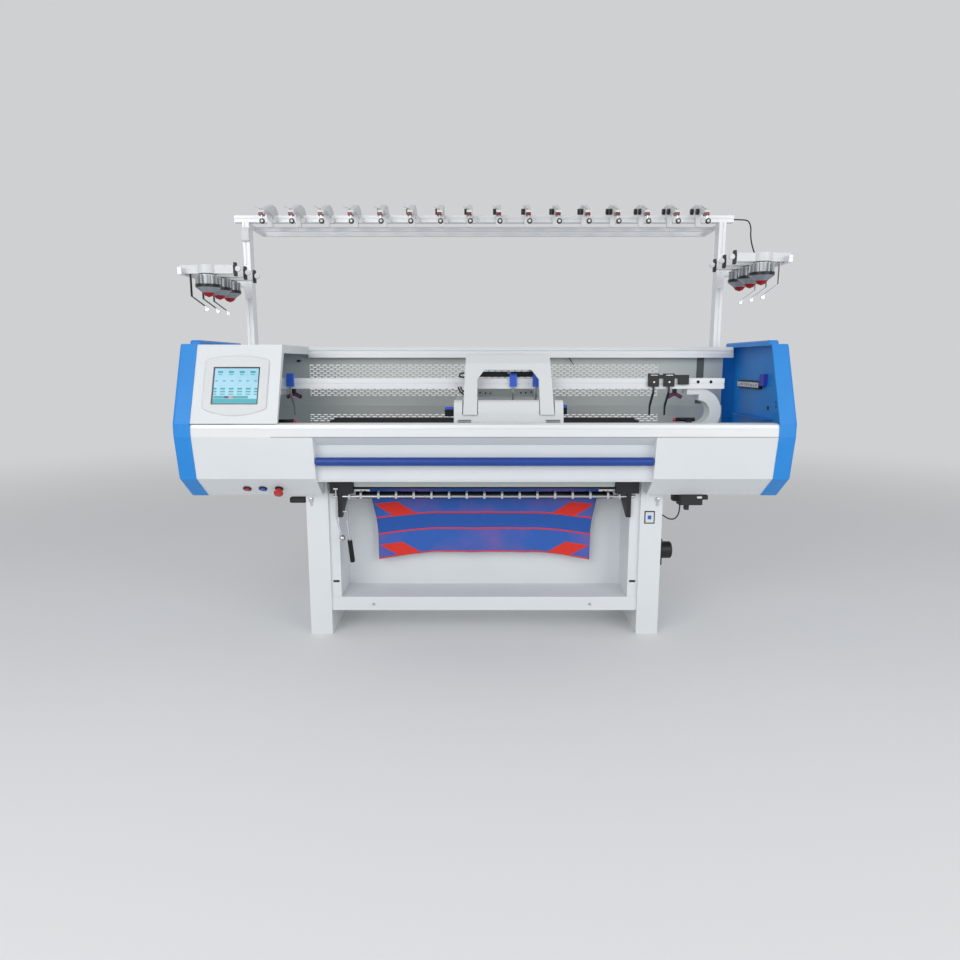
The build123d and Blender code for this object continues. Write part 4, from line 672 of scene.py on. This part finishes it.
for number, ((x0, z0), (x1, z1)) in enumerate(runs, start=1):
    spindle(f"carriage_cable_{number}", at(x0, ARCH_CABLE_T, z0), at(x1, ARCH_CABLE_T, z1), 0.0036,
            CABLE_RUBBER, 0.0012, 12, CARRIAGE)
# Dark strips of painted shade in the carriage's vent slots
for side, x0, x1 in (("left", -0.1156, -0.0591), ("right", 0.2668, 0.3279)):
    for row, z in enumerate((0.9967, 1.0058), start=1):
        block(f"carriage_vent_shade_{side}_{row}", at(x0, 0.1215, z - 0.0016), at(x1, 0.1275, z + 0.0016),
              PAINTED_SHADE_GREY, 0.0004, CARRIAGE)
for side, x0, x1, z in (("left", -0.176, -0.133, 1.044), ("right", 0.343, 0.366, 1.053)):
    block(f"carriage_sensor_{side}", at(x0, 0.185, z - 0.026), at(x1, 0.210, z + 0.004), BLACK_STEEL,
          0.0015, CARRIAGE)
    block(f"carriage_sensor_cap_{side}", at(x0, 0.185, z + 0.004), at(x1, 0.210, z + 0.016), BLUE_ABS,
          0.0015, CARRIAGE)

# Yarn carriers: the raised face of each blue block, and the twin carrier's clips and studs
CARRIER_FACE = 0.2852
TWIN = "yarn_carrier_4"
for number, x in enumerate((-0.884, 0.131, 0.236), start=1):
    body = f"yarn_carrier_{number}"
    block(f"carrier_face_{number}", at(x - 0.010, 0.2838, 1.160), at(x + 0.010, CARRIER_FACE, 1.197), BLUE_ABS,
          0.0006, body)
    spindle(f"carrier_stud_{number}", at(x, 0.2826, 1.153), at(x, CARRIER_FACE, 1.153), 0.0036, BLUE_ABS,
            0.0006, 12, body)
for (_, side), x in zip(SIDES, (0.770, 0.840)):
    block(f"twin_clip_{side}", at(x - 0.016, 0.2832, 1.196), at(x + 0.016, CARRIER_FACE, 1.1995), STEEL,
          0.0006, TWIN)
    spindle(f"twin_stud_{side}", at(x, 0.2820, 1.166), at(x, CARRIER_FACE, 1.166), 0.0048, STEEL, 0.0008, 14,
            TWIN)

# Right cover's inside: terminal block with its screws, connector, shelf and cable holes
WALL_X = 1.304
TERMINAL_PITCH = 0.0295
TERMINAL_Z = 1.149
block("terminal_bed", at(1.288, 0.385, 1.130), at(WALL_X, 0.655, 1.168), BLACK_ABS, 0.001)
for index in range(9):
    t = 0.402 + index * TERMINAL_PITCH
    block(f"terminal_{index + 1}", at(1.281, t - 0.010, 1.137), at(1.288, t + 0.010, 1.161), WHITE_ABS, 0.001)
    spindle(f"terminal_screw_{index + 1}", at(1.279, t, TERMINAL_Z), at(1.281, t, TERMINAL_Z), 0.006, STEEL,
            0.0004)
block("violet_connector", at(1.284, 0.331, 1.147), at(WALL_X, 0.380, 1.201), VIOLET, 0.002)
block("cover_shelf", at(1.262, 0.240, 0.998), at(WALL_X, 0.650, 1.001), BLUE_SHELL, 0.0006)
for name, t, z, radius in (("large", 0.305, 1.048, 0.011), ("upper", 0.222, 1.080, 0.005),
                           ("lower", 0.218, 1.058, 0.005)):
    spindle(f"cable_hole_{name}", at(WALL_X - 0.0008, t, z), at(WALL_X + 0.0004, t, z), radius, BLACK_ABS, 0.0002)

# Take-down trim: the pale plate with its dark clips, and the bolts and hooks under the covers
APRON_HALF = 0.585
CLIP_PITCH = 0.080
BOLT_X = 0.785
block("take_down_apron", at(-APRON_HALF, 0.2360, 0.695), at(APRON_HALF, 0.2385, 0.722), CARRIAGE_COAT, 0.0005)
for index in range(15):
    x = (index - 7) * CLIP_PITCH
    block(f"take_down_clip_{index + 1}", at(x - 0.007, 0.2270, 0.694), at(x + 0.007, 0.2360, 0.723), BLACK_ABS,
          0.001)
for sign, side in SIDES:
    x = sign * BOLT_X
    spindle(f"cover_bolt_{side}", at(x, 0.1875, 0.640), at(x, 0.1955, 0.640), 0.010, STEEL)
    block(f"cover_hook_{side}", at(x - 0.004, 0.1900, 0.612), at(x + 0.004, 0.1955, 0.634), STEEL, 0.001)

# Dark tube behind the presser's bright rod
TUBE_T = 0.2165
TUBE_Z = 0.658
spindle("presser_tube", at(-APRON_HALF, TUBE_T, TUBE_Z), at(APRON_HALF, TUBE_T, TUBE_Z), 0.016, BLACK_STEEL,
        0.001, body="presser")

# Painted shadow line under the front rail, then the plugs and bracket of the box under the right cover
for name, low, high, finish, edge in (
        ("rail_shadow_line", (-0.900, 0.0024, 0.9436), (1.2345, 0.0040, 0.9456), PAINTED_SHADE_GREY, 0.0002),
        ("control_box_gland", (0.902, 0.165, 0.598), (0.922, 0.190, 0.625), BLACK_ABS, 0.003),
        ("control_box_plug", (0.977, 0.160, 0.646), (1.004, 0.196, 0.667), BLACK_ABS, 0.003),
        ("control_box_bracket", (0.846, 0.158, 0.640), (0.873, 0.200, 0.668), BLACK_STEEL, 0.002),
        ("control_box_label_clip", (0.950, 0.1462, 0.655), (0.972, 0.1486, 0.664), WHITE_ABS, 0.0008)):
    block(name, at(*low), at(*high), finish, edge)

# Cable tie under the rear rail
spindle("rail_tie", at(0.422, 0.612, 1.280), at(0.436, 0.612, 1.258), 0.0030, BLACK_ABS, 0.0008, 12)
spindle("rail_tie_tail", at(0.436, 0.612, 1.258), at(0.448, 0.612, 1.243), 0.0016, CABLE_RUBBER, 0.0004, 10)

# Plug under the left cover, the plain plate on the right leg and the rounded cap on the left post
for name, low, high, finish, edge in (
        ("wiring_plug_left", (-0.888, 0.205, 0.622), (-0.814, 0.240, 0.648), BLACK_ABS, 0.006),
        ("leg_plate_frame", (0.7293, 0.1936, 0.5286), (0.7764, 0.1952, 0.5878), BLACK_ABS, 0.0004),
        ("leg_plate_face", (0.7343, 0.1928, 0.5340), (0.7714, 0.1937, 0.5824), WHITE_ABS, 0.0003),
        ("leg_plate_tile", (0.7440, 0.1922, 0.5490), (0.7610, 0.1929, 0.5670), BLUE_ABS, 0.0003),
        ("post_cap", (-1.184, 0.6255, 1.838), (-1.143, 0.6440, 1.902), WHITE_ABS, 0.006)):
    block(name, at(*low), at(*high), finish, edge)


# Floor, lights and camera
BACKDROP = "#CFD0D2"
FLOOR_SIDE = 120
LAMP_SIDE = 3.4
AIM = Vector((0, 0, 1.0))


def seen(tree):
    """1 where the backdrop is looked at, straight or in a gloss."""
    path = add(tree, "ShaderNodeLightPath")
    return add(tree, "ShaderNodeMath", operation="MAXIMUM",
               links={0: path.outputs["Is Camera Ray"], 1: path.outputs["Is Glossy Ray"]}).outputs[0]


def studio():
    """A wide pale floor, two soft lamps and an even sky."""
    made, tree, shader, place = start("pale_floor", "#EDEEEF", 0.85)
    vary(tree, shader, "Roughness", grain(tree, place, 60), 0.75, 0.85)
    # Far from the machine the floor fades to the backdrop's tone, so no horizon shows
    reach = add(tree, "ShaderNodeVectorMath", links={0: place}, operation="LENGTH").outputs["Value"]
    far = add(tree, "ShaderNodeMapRange", {"From Min": 3.0, "From Max": 9.0}, {"Value": reach},
              interpolation_type="SMOOTHSTEP").outputs[0]
    fade = add(tree, "ShaderNodeMath", links={0: far, 1: seen(tree)}, operation="MULTIPLY").outputs[0]
    plain = add(tree, "ShaderNodeEmission", {"Color": linear(BACKDROP)}).outputs[0]
    mix = add(tree, "ShaderNodeMixShader", links={0: fade, 1: shader.outputs[0], 2: plain})
    tree.links.new(mix.outputs[0], tree.nodes["Material Output"].inputs["Surface"])
    clear()
    bpy.ops.mesh.primitive_plane_add(size=1, location=(0, 1.0, -0.0005))
    floor = bpy.context.object
    floor.scale = (FLOOR_SIDE, FLOOR_SIDE, 1)
    bpy.ops.object.transform_apply(location=True, rotation=True, scale=True)
    floor.name = "studio_floor"
    paint(floor, made)
    for name, stand, power in (("key_lamp", Vector((-2.4, -4.6, 2.9)), 95),
                               ("fill_lamp", Vector((3.2, -4.2, 2.4)), 70)):
        lamp = bpy.data.lights.new(name, "AREA")
        lamp.size = LAMP_SIDE
        lamp.energy = power
        holder = bpy.data.objects.new(name, lamp)
        holder.location = stand
        holder.rotation_euler = (AIM - stand).to_track_quat("-Z", "Y").to_euler()
        bpy.context.scene.collection.objects.link(holder)
    world = bpy.data.worlds.new("studio_sky")
    world.use_nodes = True
    tree = world.node_tree
    sky = tree.nodes["Background"]
    sky.inputs["Color"].default_value = linear("#F2F3F5")
    sky.inputs["Strength"].default_value = 0.55
    backdrop = add(tree, "ShaderNodeBackground", {"Color": linear(BACKDROP)}).outputs[0]
    mix = add(tree, "ShaderNodeMixShader", links={0: seen(tree), 1: sky.outputs[0], 2: backdrop})
    tree.links.new(mix.outputs[0], tree.nodes["World Output"].inputs["Surface"])
    bpy.context.scene.world = world
    bpy.context.scene.view_settings.view_transform = "Standard"


def camera():
    """The photograph's view: a 26.25 mm lens 1.25 m up, looking a little down."""
    lens = bpy.data.cameras.new("photo_camera")
    lens.sensor_width = 36
    lens.lens = 26.25
    lens.clip_end = 60
    holder = bpy.data.objects.new("photo_camera", lens)
    holder.location = (-0.020, FRONT - 2.925, 1.252)
    holder.rotation_euler = (radians(90 - 9.489), 0, 0)
    bpy.context.scene.collection.objects.link(holder)
    bpy.context.scene.camera = holder


studio()
camera()
